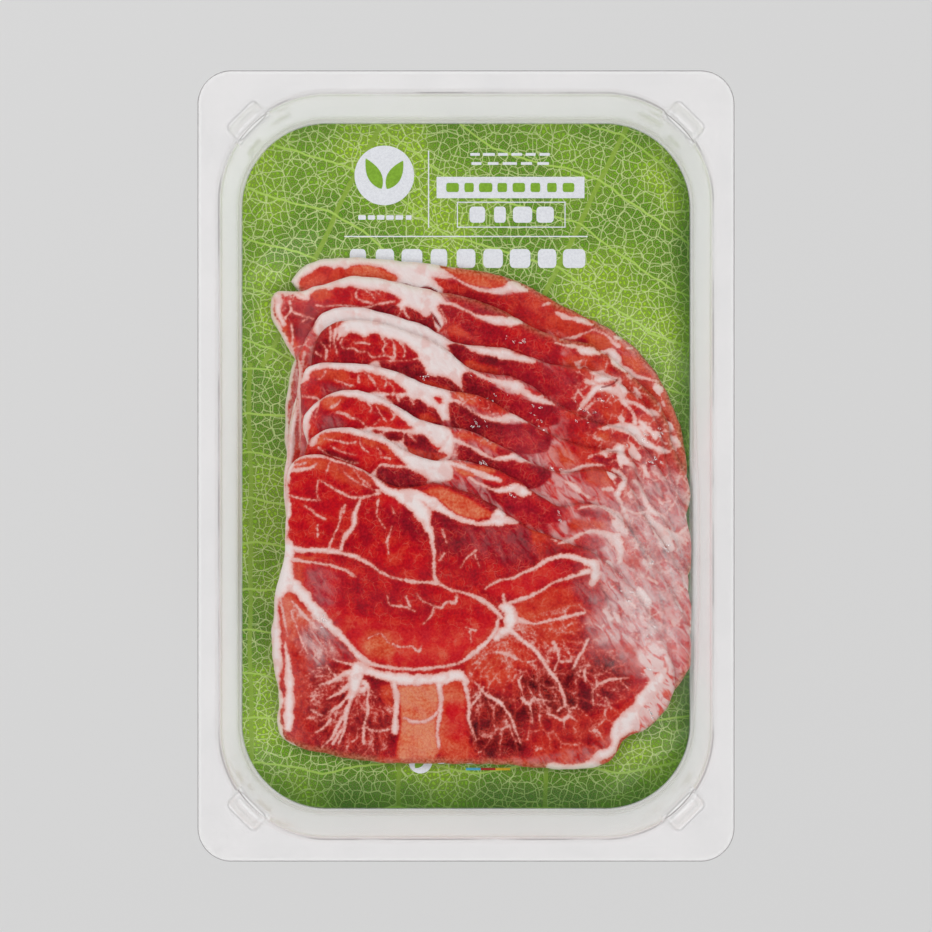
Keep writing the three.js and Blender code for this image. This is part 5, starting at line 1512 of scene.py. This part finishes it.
def wetMeat():
    # Sliced raw pork under film: wet, so it shines softly; muscle in short fibres, firm pinkish-white fat
    meat = newMaterial("raw pork, sliced and wet")
    tree = meat.node_tree
    place = inMillimetres(tree)
    marble = addNode(tree, "Attribute", {"attribute_name": "marble"})
    parts = addNode(tree, "SeparateColor", None, marble.outputs["Color"])
    haze = marble.outputs["Alpha"]
    cut = paintedParts(tree, "cutEdge")
    fine = addNode(tree, "TexNoise", fromAbove, place, Scale=1 / 0.75, Detail=2.0)
    broad = addNode(tree, "TexNoise", fromAbove, place, Scale=1 / 4.5, Detail=3.0)
    # Distance into the fat in mm, frayed by both noises
    into = addNode(tree, "MapRange", {"clamp": False}, parts.outputs[0], 0, 1, -2.5, 1.5)
    frayed = addNode(tree, "Math", {"operation": "MULTIPLY_ADD"}, fine, 0.7, into)
    frayed = addNode(tree, "Math", {"operation": "SUBTRACT"}, frayed, 0.2)
    frayed = addNode(tree, "Math", {"operation": "MULTIPLY_ADD"}, broad, 0.7, frayed)
    cover = addNode(tree, "MapRange", softly, frayed, -0.26, 0.22, 0, 1)
    depth = addNode(tree, "MapRange", None, frayed, 0, 2, 0, 1)
    fatTone = addNode(tree, "ValToRGB", {"stops": meatLook["fat"]}, depth)
    blush = addNode(tree, "MapRange", softly, broad, 0.5, 0.68, 0, 0.55)
    fatTone = addNode(tree, "MixRGB", None, blush, fatTone, meatLook["blush"])
    # Muscle
    mottled = addNode(tree, "Math", {"operation": "SUBTRACT"}, parts.outputs[1], 0.25)
    mottled = addNode(tree, "Math", {"operation": "MULTIPLY_ADD"}, broad, 0.5, mottled)
    grainy = addNode(tree, "Math", {"operation": "SUBTRACT"}, mottled, 0.24)
    grainy = addNode(tree, "Math", {"operation": "MULTIPLY_ADD"}, fine, 0.5, grainy)
    red = addNode(tree, "ValToRGB", {"stops": meatLook["red"]}, grainy)
    orange = addNode(tree, "ValToRGB", {"stops": meatLook["orange"]}, grainy)
    purple = addNode(tree, "ValToRGB", {"stops": meatLook["purple"]}, grainy)
    warmth = addNode(tree, "Math", {"operation": "SUBTRACT"}, parts.outputs[2], 0.25)
    warmth = addNode(tree, "Math", {"operation": "MULTIPLY_ADD"}, broad, 0.5, warmth)
    toOrange = addNode(tree, "MapRange", None, warmth, 0.5, 1, 0, 0.85)
    toPurple = addNode(tree, "MapRange", None, warmth, 0.5, 0, 0, 0.6)
    flesh = addNode(tree, "MixRGB", None, toOrange, red, orange)
    flesh = addNode(tree, "MixRGB", None, toPurple, flesh, purple)
    # The fine net between bundles of fibres, about 1.1 mm apart, and broken pale threads 3.4 mm apart
    bend = addNode(tree, "TexNoise", fromAbove, place, Scale=1 / 2.5, Detail=1.0)
    bent = addNode(tree, "VectorMath", {"operation": "MULTIPLY_ADD"}, bend.outputs["Color"], (3, 3, 3), place)
    for size, high, strength, tint in meatLook["nets"]:
        cells = addNode(tree, "TexVoronoi", {"feature": "DISTANCE_TO_EDGE", "voronoi_dimensions": "2D"},
                        bent, Scale=1 / size)
        line = addNode(tree, "MapRange", softly, cells, 0, high, strength, 0)
        gaps = addNode(tree, "MapRange", None, broad, 0.42, 0.6, 0, 1)
        broken = addNode(tree, "Math", {"operation": "MULTIPLY"}, line, gaps)
        flesh = addNode(tree, "MixRGB", None, broken, flesh, tint)
    # Muscle turns pink where fat starts under it
    halo = addNode(tree, "MapRange", softly, frayed, -0.8, 0, 0, 0.28)
    flesh = addNode(tree, "MixRGB", None, halo, flesh, meatLook["halo"])
    colour = addNode(tree, "MixRGB", None, cover, flesh, fatTone)
    # A pale veil over the meat: partly juice and film lying pale on it, partly painted sheen
    along = addNode(tree, "Mapping", {"vector_type": "TEXTURE"}, place, (0, 0, 0), creaseTurn, (2.6, 1, 1))
    streaks = addNode(tree, "TexNoise", fromAbove, along, Scale=1 / 1.7, Detail=3.0, Distortion=0.5)
    patchy = addNode(tree, "MapRange", None, streaks, 0.36, 0.64, 0.1, 2)
    squared = addNode(tree, "Math", {"operation": "MULTIPLY"}, haze, haze)
    veil = addNode(tree, "Math", {"operation": "MULTIPLY", "use_clamp": True}, squared, patchy)
    colour = addNode(tree, "MixRGB", None, veil, colour, meatLook["veil"])
    # Dark red lines in the slits between slices: blood there and painted shade
    colour = addNode(tree, "MixRGB", None, cut[1], colour, meatLook["bloodAndShade"])
    # The thin cut edge: a narrow brown line over meat, partly the thin edge's colour and partly painted shade
    # where the slice steps down, and a wide olive one that lets the green card through
    thin = addNode(tree, "MapRange", softly, cut[0], 1, 0.8, 0.2, 0)
    edgeTone = addNode(tree, "MixRGB", None, cover, *meatLook["cutEdge"])
    colour = addNode(tree, "MixRGB", None, thin, colour, edgeTone)
    wide = addNode(tree, "MapRange", softly, cut[0], 1, 0.35, 0.75, 0)
    wavy = addNode(tree, "MapRange", None, broad, 0.35, 0.62, 1.0, 0.45)
    seen = addNode(tree, "Math", {"operation": "MULTIPLY"}, wide, wavy)
    seen = addNode(tree, "Math", {"operation": "MULTIPLY"}, seen, cut[2])
    meatTone, fatEdge = meatLook["overCard"]
    meatTone = addNode(tree, "ValToRGB", {"stops": meatTone}, fine)
    underTone = addNode(tree, "MixRGB", None, cover, meatTone, fatEdge)
    colour = addNode(tree, "MixRGB", None, seen, colour, underTone)
    gloss = addNode(tree, "MapRange", None, fine, 0.3, 0.7, 0.34, 0.5)
    hills = addNode(tree, "Math", {"operation": "MULTIPLY_ADD"}, fine, 0.6, broad)
    bump = addNode(tree, "Bump", None, Strength=0.7, Distance=0.35 * mm, Height=hills)
    shine = addNode(tree, "BsdfPrincipled", None, colour, Roughness=gloss, IOR=1.2, Normal=bump)
    addNode(tree, "OutputMaterial", None, shine)
    return meat


pork = wetMeat()
for k in range(sliceCount):
    buildSlice(k, pork)


# The film

film = {
    "lift": 0.32,  # from the rim up to the film's underside
    "gauge": 0.12,
    "inset": 0.3,
    "offWall": 0.25,
    "cells": (120, 176),  # of the sheet on the floor of the well
    "wrinkle": 0.14,
    "clearance": 0.02,  # over the slices
    # The film's pale colour: its own milkiness, and painted light at the wall's foot and over the gap by the
    # slices
    "milkAndPaintedLight": "#F4F2F2",
    "beadSeed": 7,
}


def filmHeight(x, y):
    # The film's underside over the slices, with small wrinkles where it was drawn over their ends
    height = stackHeight(sliceCount, x, y) + film["clearance"]
    crowd = smooth(30, 48, x) * smooth(40, 15, y) * smooth(-72, -50, y)
    ridges = 1 - np.abs(fractal(x + 0.35 * y, y - 0.2 * x, 6, 111)) * 1.6
    loose = 0.05 * smooth(-1, 1, fractal(x, y, 13, 112))
    return height + film["wrinkle"] * crowd * np.clip(ridges, 0, 1) + loose


def buildFilm():
    across, up = film["cells"]
    rimRing, rimOut = ring(trayHigh[0], trayHigh[1], tray["rimRadius"])
    # The sheet starts from a ring of points on the wall, as high as the slices that lean on it,
    # and with the corners of its grid on the middle of each round corner
    corner, alongX, alongY = (ringSteps[key] for key in ("corner", "alongX", "alongY"))
    marks = np.cumsum([0, corner + alongX, corner + alongY, corner + alongX, corner + alongY]) + corner / 2
    sizes = (across, up, across, up)
    at = np.concatenate([np.linspace(a, b, n, endpoint=False) for a, b, n in zip(marks, marks[1:], sizes)])

    def around(values):
        source = np.arange(ringCount + 1)
        looped = np.vstack([values, values[:1]])
        return np.column_stack([np.interp(at % ringCount, source, looped[:, i])
                                for i in range(values.shape[1])])

    mouthAt, footAt, outAt, rimAt, rimOutAt = (
        around(values) for values in (mouthRing, footRing, outward, rimRing, rimOut))

    def onWall(share, grow):
        return mouthAt * (1 - share) + footAt * share + outAt * grow

    height = np.full((len(at), 1), 3.0)
    for _ in range(3):
        foot = onWall(wallShare(height), -film["offWall"] - 0.5)
        height = filmHeight(foot[:, 0], foot[:, 1])[:, None]
    rows = []
    for inset in (film["inset"], 2, 4):
        rows.append(np.column_stack([rimAt - rimOutAt * inset, np.full(len(at), trayHigh[2] + film["lift"])]))
    for grow, drop in ((1.4, 0), (0.9, 0.1), (0.4, 0.45), (0.1, 0.85)):
        rows.append(np.column_stack([onWall(0, grow), np.full(len(at), trayHigh[2] + film["lift"] - drop)]))
    for share in np.linspace(0.06, 1, 12):
        z = (trayHigh[2] - 1.1) * (1 - share) + (height + 0.4) * share
        rows.append(np.column_stack([onWall(wallShare(z), -film["offWall"]), z]))
    rows.append(np.column_stack([onWall(wallShare(height), -film["offWall"] - 0.5), height]))
    edge = rows[-1][:, :2]

    # A grid between the four sides of that ring
    s, t = np.linspace(0, 1, across + 1)[:, None, None], np.linspace(0, 1, up + 1)[None, :, None]
    looped = np.vstack([edge, edge[:1]])
    starts = np.cumsum([0, *sizes])
    top, left, bottom, right = (looped[a:b + 1] for a, b in zip(starts, starts[1:]))
    top, left = top[::-1], left[::-1]
    corners = bottom[0], bottom[-1], top[0], top[-1]
    grid = ((1 - t) * bottom[:, None] + t * top[:, None] + (1 - s) * left[None] + s * right[None]
            - (1 - s) * (1 - t) * corners[0] - s * (1 - t) * corners[1]
            - (1 - s) * t * corners[2] - s * t * corners[3])
    inner = grid[1:-1, 1:-1]
    z = filmHeight(inner[..., 0], inner[..., 1])
    sheet = np.column_stack([inner.reshape(-1, 2), z.ravel()])
    under = np.vstack([*rows, sheet])

    count = len(at)
    faces = [ringFaces(i * count, (i + 1) * count, count) for i in range(len(rows) - 1)]
    number = np.zeros((across + 1, up + 1), int)
    last = (len(rows) - 1) * count
    ids = last + np.append(np.arange(count), 0)
    number[:, -1] = ids[:across + 1][::-1]
    number[0, :] = ids[across:across + up + 1][::-1]
    number[:, 0] = ids[across + up:2 * across + up + 1]
    number[-1, :] = ids[2 * across + up:]
    number[1:-1, 1:-1] = last + count + np.arange(inner.shape[0] * inner.shape[1]).reshape(inner.shape[:2])
    quads = [number[:-1, :-1], number[1:, :-1], number[1:, 1:], number[:-1, 1:]]
    faces.append(np.stack(quads, -1).reshape(-1, 4))
    lifted = under + np.array([0, 0, film["gauge"]])
    total = len(under)
    points = np.vstack([under, lifted])
    upper = [f + total for f in faces]
    lower = [f[:, ::-1] for f in faces]
    here = np.arange(count)
    after = (here + 1) % count
    hem = np.column_stack([here, after, after + total, here + total])
    piece = meshPiece("drawnFilm", points, upper + lower + [hem], "film", clearFilm(), sharp=60)
    x, y = points[:, 0], points[:, 1]
    # A pale veil over the crowded right side and in a spot on the left: partly the film's haze, partly
    # painted sheen
    veil = smooth(30, 44, x) * smooth(2, -18, y) * smooth(-60, -46, y) * smooth(66, 61, x)
    veil = np.maximum(veil, 0.7 * smooth(5, 1, np.hypot((x + 41.5) / 1.2, (y + 49) / 2.4)))
    veil[points[:, 2] > 20] = 0
    # Where it lies on the tray it looks milky too: a little on the wall and more on the rim, and at its foot
    # it is pale as painted light over the shaded gap by the slices
    down = (np.arange(len(points)) % total) // count
    milkAndPaintedLight = 0.05 + 0.25 * smooth(23, 24.6, points[:, 2]) + 0.5 * smooth(15.5, 18.5, down)
    # It is also painted pale, as painted light, where it bridges the shaded gap between the slices and the
    # wall
    t = 1 - wallShare(points[:, 2])
    halfX, halfY, radius = (foot + t * (mouth - foot) for foot, mouth in zip(tray["foot"], tray["mouth"]))
    qx, qy = np.abs(x) - halfX + radius, np.abs(y) - halfY + radius
    within = radius - np.hypot(np.maximum(qx, 0), np.maximum(qy, 0)) - np.minimum(np.maximum(qx, qy), 0)
    paintedGapLight = 0.55 * smooth(2.6, 1.5, within) * smooth(5, 9, points[:, 2]) * smooth(20, 17, points[:, 2])
    onTray = np.arange(len(points)) % total < (len(rows) - 1) * count
    milkAndPaintedLight = np.where(onTray, milkAndPaintedLight, paintedGapLight)
    # The underside clings to the meat and doesn't mirror
    clings = np.where(np.arange(len(points)) < total, 1.0, 0.0)
    paintPoints(piece, "veil", [veil, milkAndPaintedLight, clings, np.ones_like(veil)])
    piece.visible_shadow = piece.visible_diffuse = False
    print("film ready")


def clearFilm():
    # Drawn barrier film: clear and glossy, seen by its glints and a pale veil where it creases, partly
    # painted sheen; low on the wall and over the gap by the slices it is pale as painted light
    clear = newMaterial("clear drawn barrier film")
    tree = clear.node_tree
    place = inMillimetres(tree)
    along = addNode(tree, "Mapping", {"vector_type": "TEXTURE"}, place, (0, 0, 0), creaseTurn, (2.5, 1, 1))
    crease = addNode(tree, "TexNoise", None, along, Scale=1 / 3.6, Detail=4.0, Distortion=0.6)
    fine = addNode(tree, "TexNoise", None, place, Scale=1 / 1.1, Detail=3.0)
    hills = addNode(tree, "Math", {"operation": "MULTIPLY_ADD"}, fine, 0.3, crease)
    bump = addNode(tree, "Bump", None, Strength=0.35, Distance=0.35 * mm, Height=hills)
    gloss = addNode(tree, "BsdfAnisotropic", None, "#FFFFFF", Roughness=0.2, Normal=bump)
    through = addNode(tree, "BsdfTransparent")
    veil = paintedParts(tree, "veil")
    facing = addNode(tree, "Fresnel", None, 1.5, bump)
    most = addNode(tree, "Math", {"operation": "MULTIPLY_ADD"}, veil[0], 0.09, 0.01)
    facing = addNode(tree, "Math", {"operation": "MINIMUM"}, facing, most)
    upper = addNode(tree, "Math", {"operation": "SUBTRACT"}, 1, veil[2])
    mirrored = addNode(tree, "Math", {"operation": "MULTIPLY"}, facing, upper)
    clean = addNode(tree, "MixShader", None, mirrored, through, gloss)
    streaks = addNode(tree, "MapRange", softly, hills, 0.45, 0.95, 0.05, 0.42)
    # Pale where it creases, and pale as painted light low on the wall and over the gap by the slices
    creaseAndPaintedLight = addNode(tree, "Math", {"operation": "MULTIPLY_ADD"}, veil[0], streaks, veil[1])
    pale = addNode(tree, "Math", {"operation": "MULTIPLY"}, creaseAndPaintedLight, upper)
    milky = addNode(tree, "BsdfDiffuse", None, film["milkAndPaintedLight"])
    seen = addNode(tree, "MixShader", None, pale, clean, milky)
    addNode(tree, "OutputMaterial", None, seen)
    return clear


# Small wet beads and creases that glint: x, y, spread, number
glints = ((-11.5, 25.3, 1.2, 5), (13, 35.5, 1.2, 4), (16, 35.3, 1, 3), (34, 15.5, 2.2, 9), (3, 12, 1.6, 6),
          (5, 1, 1, 3), (21, 12.5, 2.6, 8), (25, -1, 1.2, 4), (52.5, 1.5, 2, 8), (-40.5, -43.5, 1.3, 12),
          (26.5, -14, 1.6, 5), (12.5, -8, 1.6, 5), (56, -23, 1.4, 6), (51.5, -27, 1.4, 6), (53, -47, 1.6, 6),
          (52, -59, 1.8, 8), (53, -70, 1.6, 8), (47, -36, 5, 14), (52, 8, 4, 10), (40, 20, 5, 8),
          (8, 20, 9, 12))


def beadTree(material):
    # Flat drops of uneven size and turn on the given points
    tree = bpy.data.node_groups.new("wetBeads", "GeometryNodeTree")
    inputs = {}
    tree.interface.new_socket("Geometry", in_out="INPUT", socket_type="NodeSocketGeometry")
    for name, kind, value in (("Smallest", "NodeSocketFloat", 0.12 * mm),
                              ("Largest", "NodeSocketFloat", 0.42 * mm), ("Seed", "NodeSocketInt", 7)):
        socket = tree.interface.new_socket(name, in_out="INPUT", socket_type=kind)
        socket.default_value = value
        inputs[name] = socket.identifier
    tree.interface.new_socket("Geometry", in_out="OUTPUT", socket_type="NodeSocketGeometry")
    given = tree.nodes.new("NodeGroupInput")
    ball = addNode(tree, "GeometryNodeMeshIcoSphere", None, 1.0, 2)
    drop = addNode(tree, "GeometryNodeTransform", None, ball, Scale=(1.7, 0.8, 0.42))
    size = addNode(tree, "FunctionNodeRandomValue", None, None, None, given.outputs["Smallest"],
                   given.outputs["Largest"], Seed=given.outputs["Seed"])
    turn = addNode(tree, "FunctionNodeRandomValue", {"data_type": "FLOAT_VECTOR"}, (-0.25, -0.25, -1.3),
                   (0.25, 0.25, 0.3), Seed=given.outputs["Seed"])
    placed = addNode(tree, "GeometryNodeInstanceOnPoints", None, given.outputs["Geometry"], Instance=drop,
                     Rotation=turn.outputs[0], Scale=size.outputs[1])
    real = addNode(tree, "GeometryNodeRealizeInstances", None, placed)
    soft = addNode(tree, "GeometryNodeSetShadeSmooth", None, real)
    wet = addNode(tree, "GeometryNodeSetMaterial", None, soft, Material=material)
    out = tree.nodes.new("NodeGroupOutput")
    tree.links.new(wet.outputs[0], out.inputs[0])
    return tree, inputs


def buildBeads():
    wet = newMaterial("beads of juice under film")
    # Tiny clear drops left by packing: nearly all that shows of them is a bright glint
    tree = wet.node_tree
    where = addNode(tree, "TexCoord")
    ripple = addNode(tree, "TexNoise", None, where.outputs["Object"], Scale=1 / (0.4 * mm), Detail=1.0)
    bump = addNode(tree, "Bump", None, Strength=0.3, Distance=0.06 * mm, Height=ripple)
    clear = addNode(tree, "BsdfTransparent")
    gloss = addNode(tree, "BsdfAnisotropic", None, "#FFFFFF", Roughness=0.12, Normal=bump)
    facing = addNode(tree, "MapRange", None, addNode(tree, "Fresnel", None, 1.45, bump), 0, 0.4, 0.22, 0.5)
    seen = addNode(tree, "MixShader", None, facing, clear, gloss)
    addNode(tree, "OutputMaterial", None, seen)
    seeds = np.random.default_rng(17)
    spots = [(x + spread * dx, y + spread * dy) for x, y, spread, number in glints
             for dx, dy in seeds.normal(0, 0.6, (number, 2))]
    x, y = np.array(spots).T
    z = filmHeight(x, y) + film["gauge"]
    source = bpy.data.meshes.new("beadSpots")
    source.from_pydata((np.column_stack([x, y, z]) * mm).tolist(), [], [])
    tree, inputs = beadTree(wet)
    mesh = meshFrom(tree, inputs, {"Seed": film["beadSeed"]}, source)
    piece = joined("wetBeads", [mesh], wet)
    for face in piece.data.polygons:
        face.use_smooth = True
    piece.visible_shadow = piece.visible_diffuse = False
    print("beads ready")


buildFilm()
buildBeads()


# What is printed in white on the card: plain generic shapes only

marks = {
    "ink": 0.04,  # thickness of the layer
    "inkGloss": 0.42,
    "white": ("#E6E8EE", "#F1F3F8"),
    "green": ("#7DA82C", "#8DBB36"),
    "badge": (-23.3, 82.9, 8.5),
    "rules": (  # x from, x to, y from, y to
        (-10.85, -10.5, 68, 90),
        (-34.7, 34.7, 65.3, 65.65),
        (-8.4, 33.8, 76.4, 82.5),
    ),
    "frame": (-2.6, 28.4, 68, 75.4, 0.3),  # the last is its line
    "rows": (  # x from, x to, y, height, number of dashes, seed, colour
        (-31, -15, 70.9, 1.3, 6, 3, "white"),
        (0.6, 24.4, 88.9, 0.8, 6, 5, "white"),
        (0.6, 24.4, 86.3, 0.8, 5, 8, "white"),
        (-6.2, 31.6, 79.45, 2.6, 8, 4, "green"),
        (0, 25.8, 71.7, 4.6, 4, 9, "white"),
        (-34.7, 34.7, 59.2, 5.4, 9, 2, "white"),
        (-8.5, 11, -84.2, 1.6, 7, 6, "white"),
    ),
    "colourBar": (0, 12.6, -86.8, 0.7),
    "barTones": {
        "blue": ("#4FA9C9", "#5BB7D6"),
        "red": ("#A8221C", "#B42A22"),
        "yellow": ("#D3A822", "#DDB52C"),
    },
    "lowBadge": (-13, -84.3, 3.4),
}


def flatInk(name, tones):
    ink = newMaterial(name)
    # Offset ink on card: even, with a faint mottle from the press
    tree = ink.node_tree
    where = addNode(tree, "TexCoord")
    mottle = addNode(tree, "TexNoise", None, where.outputs["Object"], Scale=1 / (0.6 * mm), Detail=2.0)
    tone = addNode(tree, "ValToRGB", {"stops": tuple(zip((0.35, 0.65), tones))}, mottle)
    bump = addNode(tree, "Bump", None, Strength=0.1, Distance=0.03 * mm, Height=mottle)
    shine = addNode(tree, "BsdfPrincipled", None, tone, Roughness=marks["inkGloss"], IOR=1.5, Normal=bump)
    addNode(tree, "OutputMaterial", None, shine)
    return ink


def platesOf(outlines, low, high):
    # Closed thin plates on the card from flat outlines that run anticlockwise
    points, faces = [], []
    for outline in outlines:
        flat, start, count = np.asarray(outline, float), sum(map(len, points)), len(outline)
        points += [np.column_stack([flat, np.full(count, z)]) for z in (low, high)]
        bottom = np.arange(count) + start
        faces += [bottom[::-1], bottom + count]
        after = np.roll(bottom, -1)
        faces.append(np.column_stack([bottom, after, after + count, bottom + count]))
    return np.vstack(points), faces


def circleOf(x, y, radius, count=96):
    turn = np.arange(count) / count * 2 * np.pi
    return np.column_stack([x + radius * np.cos(turn), y + radius * np.sin(turn)])


def leafOf(x, y, length, width, turn):
    # A plain pointed leaf
    t = np.linspace(0, 1, 25)
    half = width / 2 * np.sin(np.pi * t ** 0.85) ** 0.9
    side = np.column_stack([(t - 0.5) * length, -half])
    leaf = np.vstack([side, side[-2:0:-1] * (1, -1)])
    c, s = np.cos(turn), np.sin(turn)
    return leaf @ np.array([[c, s], [-s, c]]) + (x, y)


def boxOf(x0, x1, y0, y1):
    return np.array([(x0, y0), (x1, y0), (x1, y1), (x0, y1)])


def dashTree(ink):
    # A row of rounded dashes of uneven length; the inputs are set for each row
    tree = bpy.data.node_groups.new("printedDashes", "GeometryNodeTree")
    inputs = {}
    for name, kind, value in (("Count", "NodeSocketInt", 6), ("Pitch", "NodeSocketFloat", 3 * mm),
                              ("Height", "NodeSocketFloat", 1 * mm), ("Start", "NodeSocketVector", None),
                              ("Seed", "NodeSocketInt", 1)):
        socket = tree.interface.new_socket(name, in_out="INPUT", socket_type=kind)
        if value is not None:
            socket.default_value = value
        inputs[name] = socket.identifier
    tree.interface.new_socket("Geometry", in_out="OUTPUT", socket_type="NodeSocketGeometry")
    given = tree.nodes.new("NodeGroupInput")
    step = addNode(tree, "CombineXYZ", None, given.outputs["Pitch"])
    line = addNode(tree, "GeometryNodeMeshLine", None, Count=given.outputs["Count"], Offset=step,
                   Start_Location=given.outputs["Start"])
    blank = addNode(tree, "GeometryNodeCurvePrimitiveQuadrilateral", None, Width=given.outputs["Pitch"],
                    Height=given.outputs["Height"])
    corner = addNode(tree, "Math", {"operation": "MULTIPLY"}, given.outputs["Height"], 0.28)
    rounded = addNode(tree, "GeometryNodeFilletCurve", {"mode": "POLY"}, Curve=blank, Radius=corner, Count=4)
    filled = addNode(tree, "GeometryNodeFillCurve", {"mode": "NGONS"}, rounded)
    raised = addNode(tree, "GeometryNodeExtrudeMesh", None, filled, Offset_Scale=marks["ink"] * mm)
    under = addNode(tree, "GeometryNodeFlipFaces", None, filled)
    both = tree.nodes.new("GeometryNodeJoinGeometry")
    tree.links.new(raised.outputs["Mesh"], both.inputs[0])
    tree.links.new(under.outputs[0], both.inputs[0])
    closed = addNode(tree, "GeometryNodeMergeByDistance", None, both, Distance=1e-6)
    length = addNode(tree, "FunctionNodeRandomValue", None, None, None, 0.52, 0.86,
                     Seed=given.outputs["Seed"])
    scale = addNode(tree, "CombineXYZ", None, length.outputs[1], 1.0, 1.0)
    placed = addNode(tree, "GeometryNodeInstanceOnPoints", None, line, Instance=closed, Scale=scale)
    real = addNode(tree, "GeometryNodeRealizeInstances", None, placed)
    inked = addNode(tree, "GeometryNodeSetMaterial", None, real, Material=ink)
    out = tree.nodes.new("NodeGroupOutput")
    tree.links.new(inked.outputs[0], out.inputs[0])
    return tree, inputs


def plainMesh(points, faces):
    mesh = bpy.data.meshes.new("plates")
    rows = [row for face in faces for row in ([face] if face.ndim == 1 else face)]
    mesh.from_pydata((points * mm).tolist(), [], [row.tolist() for row in rows])
    return mesh


def printCard():
    white, green = (flatInk(f"{name} offset ink on card", marks[name]) for name in ("white", "green"))
    low, ink = linerHigh[2] - 0.01, marks["ink"]
    rows = {"white": [], "green": []}
    trees = {name: dashTree(material) for name, material in (("white", white), ("green", green))}
    for x0, x1, y, height, count, seed, colour in marks["rows"]:
        tree, inputs = trees[colour]
        pitch = (x1 - x0) / count
        floor = low + (ink if colour == "green" else 0)
        values = {"Count": count, "Pitch": pitch * mm, "Height": height * mm, "Seed": seed,
                  "Start": ((x0 + pitch / 2) * mm, y * mm, floor * mm)}
        rows[colour].append(meshFrom(tree, inputs, values))
    fx0, fx1, fy0, fy1, line = marks["frame"]
    outlines = [circleOf(*marks["badge"]), circleOf(*marks["lowBadge"])]
    outlines += [boxOf(*rule) for rule in marks["rules"]]
    outlines += [boxOf(fx0, fx1, fy0, fy0 + line), boxOf(fx0, fx1, fy1 - line, fy1),
                 boxOf(fx0, fx0 + line, fy0 + line, fy1 - line),
                 boxOf(fx1 - line, fx1, fy0 + line, fy1 - line)]
    plates = plainMesh(*platesOf(outlines, low, low + ink))
    joined("whiteMarks", [plates] + rows["white"], white)
    x, y, r = marks["badge"]
    leaves = [leafOf(x - 0.36 * r, y + 0.06 * r, 1.15 * r, 0.46 * r, 2.05),
              leafOf(x + 0.36 * r, y + 0.02 * r, 1.1 * r, 0.46 * r, 1.05)]
    x, y, r = marks["lowBadge"]
    leaves.append(leafOf(x, y, 1.4 * r, 0.7 * r, 0.9))
    plates = plainMesh(*platesOf(leaves, low + ink, low + 2 * ink))
    joined("greenMarks", [plates] + rows["green"], green)
    x0, x1, y, height = marks["colourBar"]
    third = (x1 - x0) / 3
    for number, (name, tones) in enumerate(marks["barTones"].items()):
        box = boxOf(x0 + number * third, x0 + (number + 1) * third, y, y + height)
        bar = plainMesh(*platesOf([box], low, low + ink))
        joined(name + "Bar", [bar], flatInk(f"{name} offset ink on card", tones))
    print("print ready")


printCard()
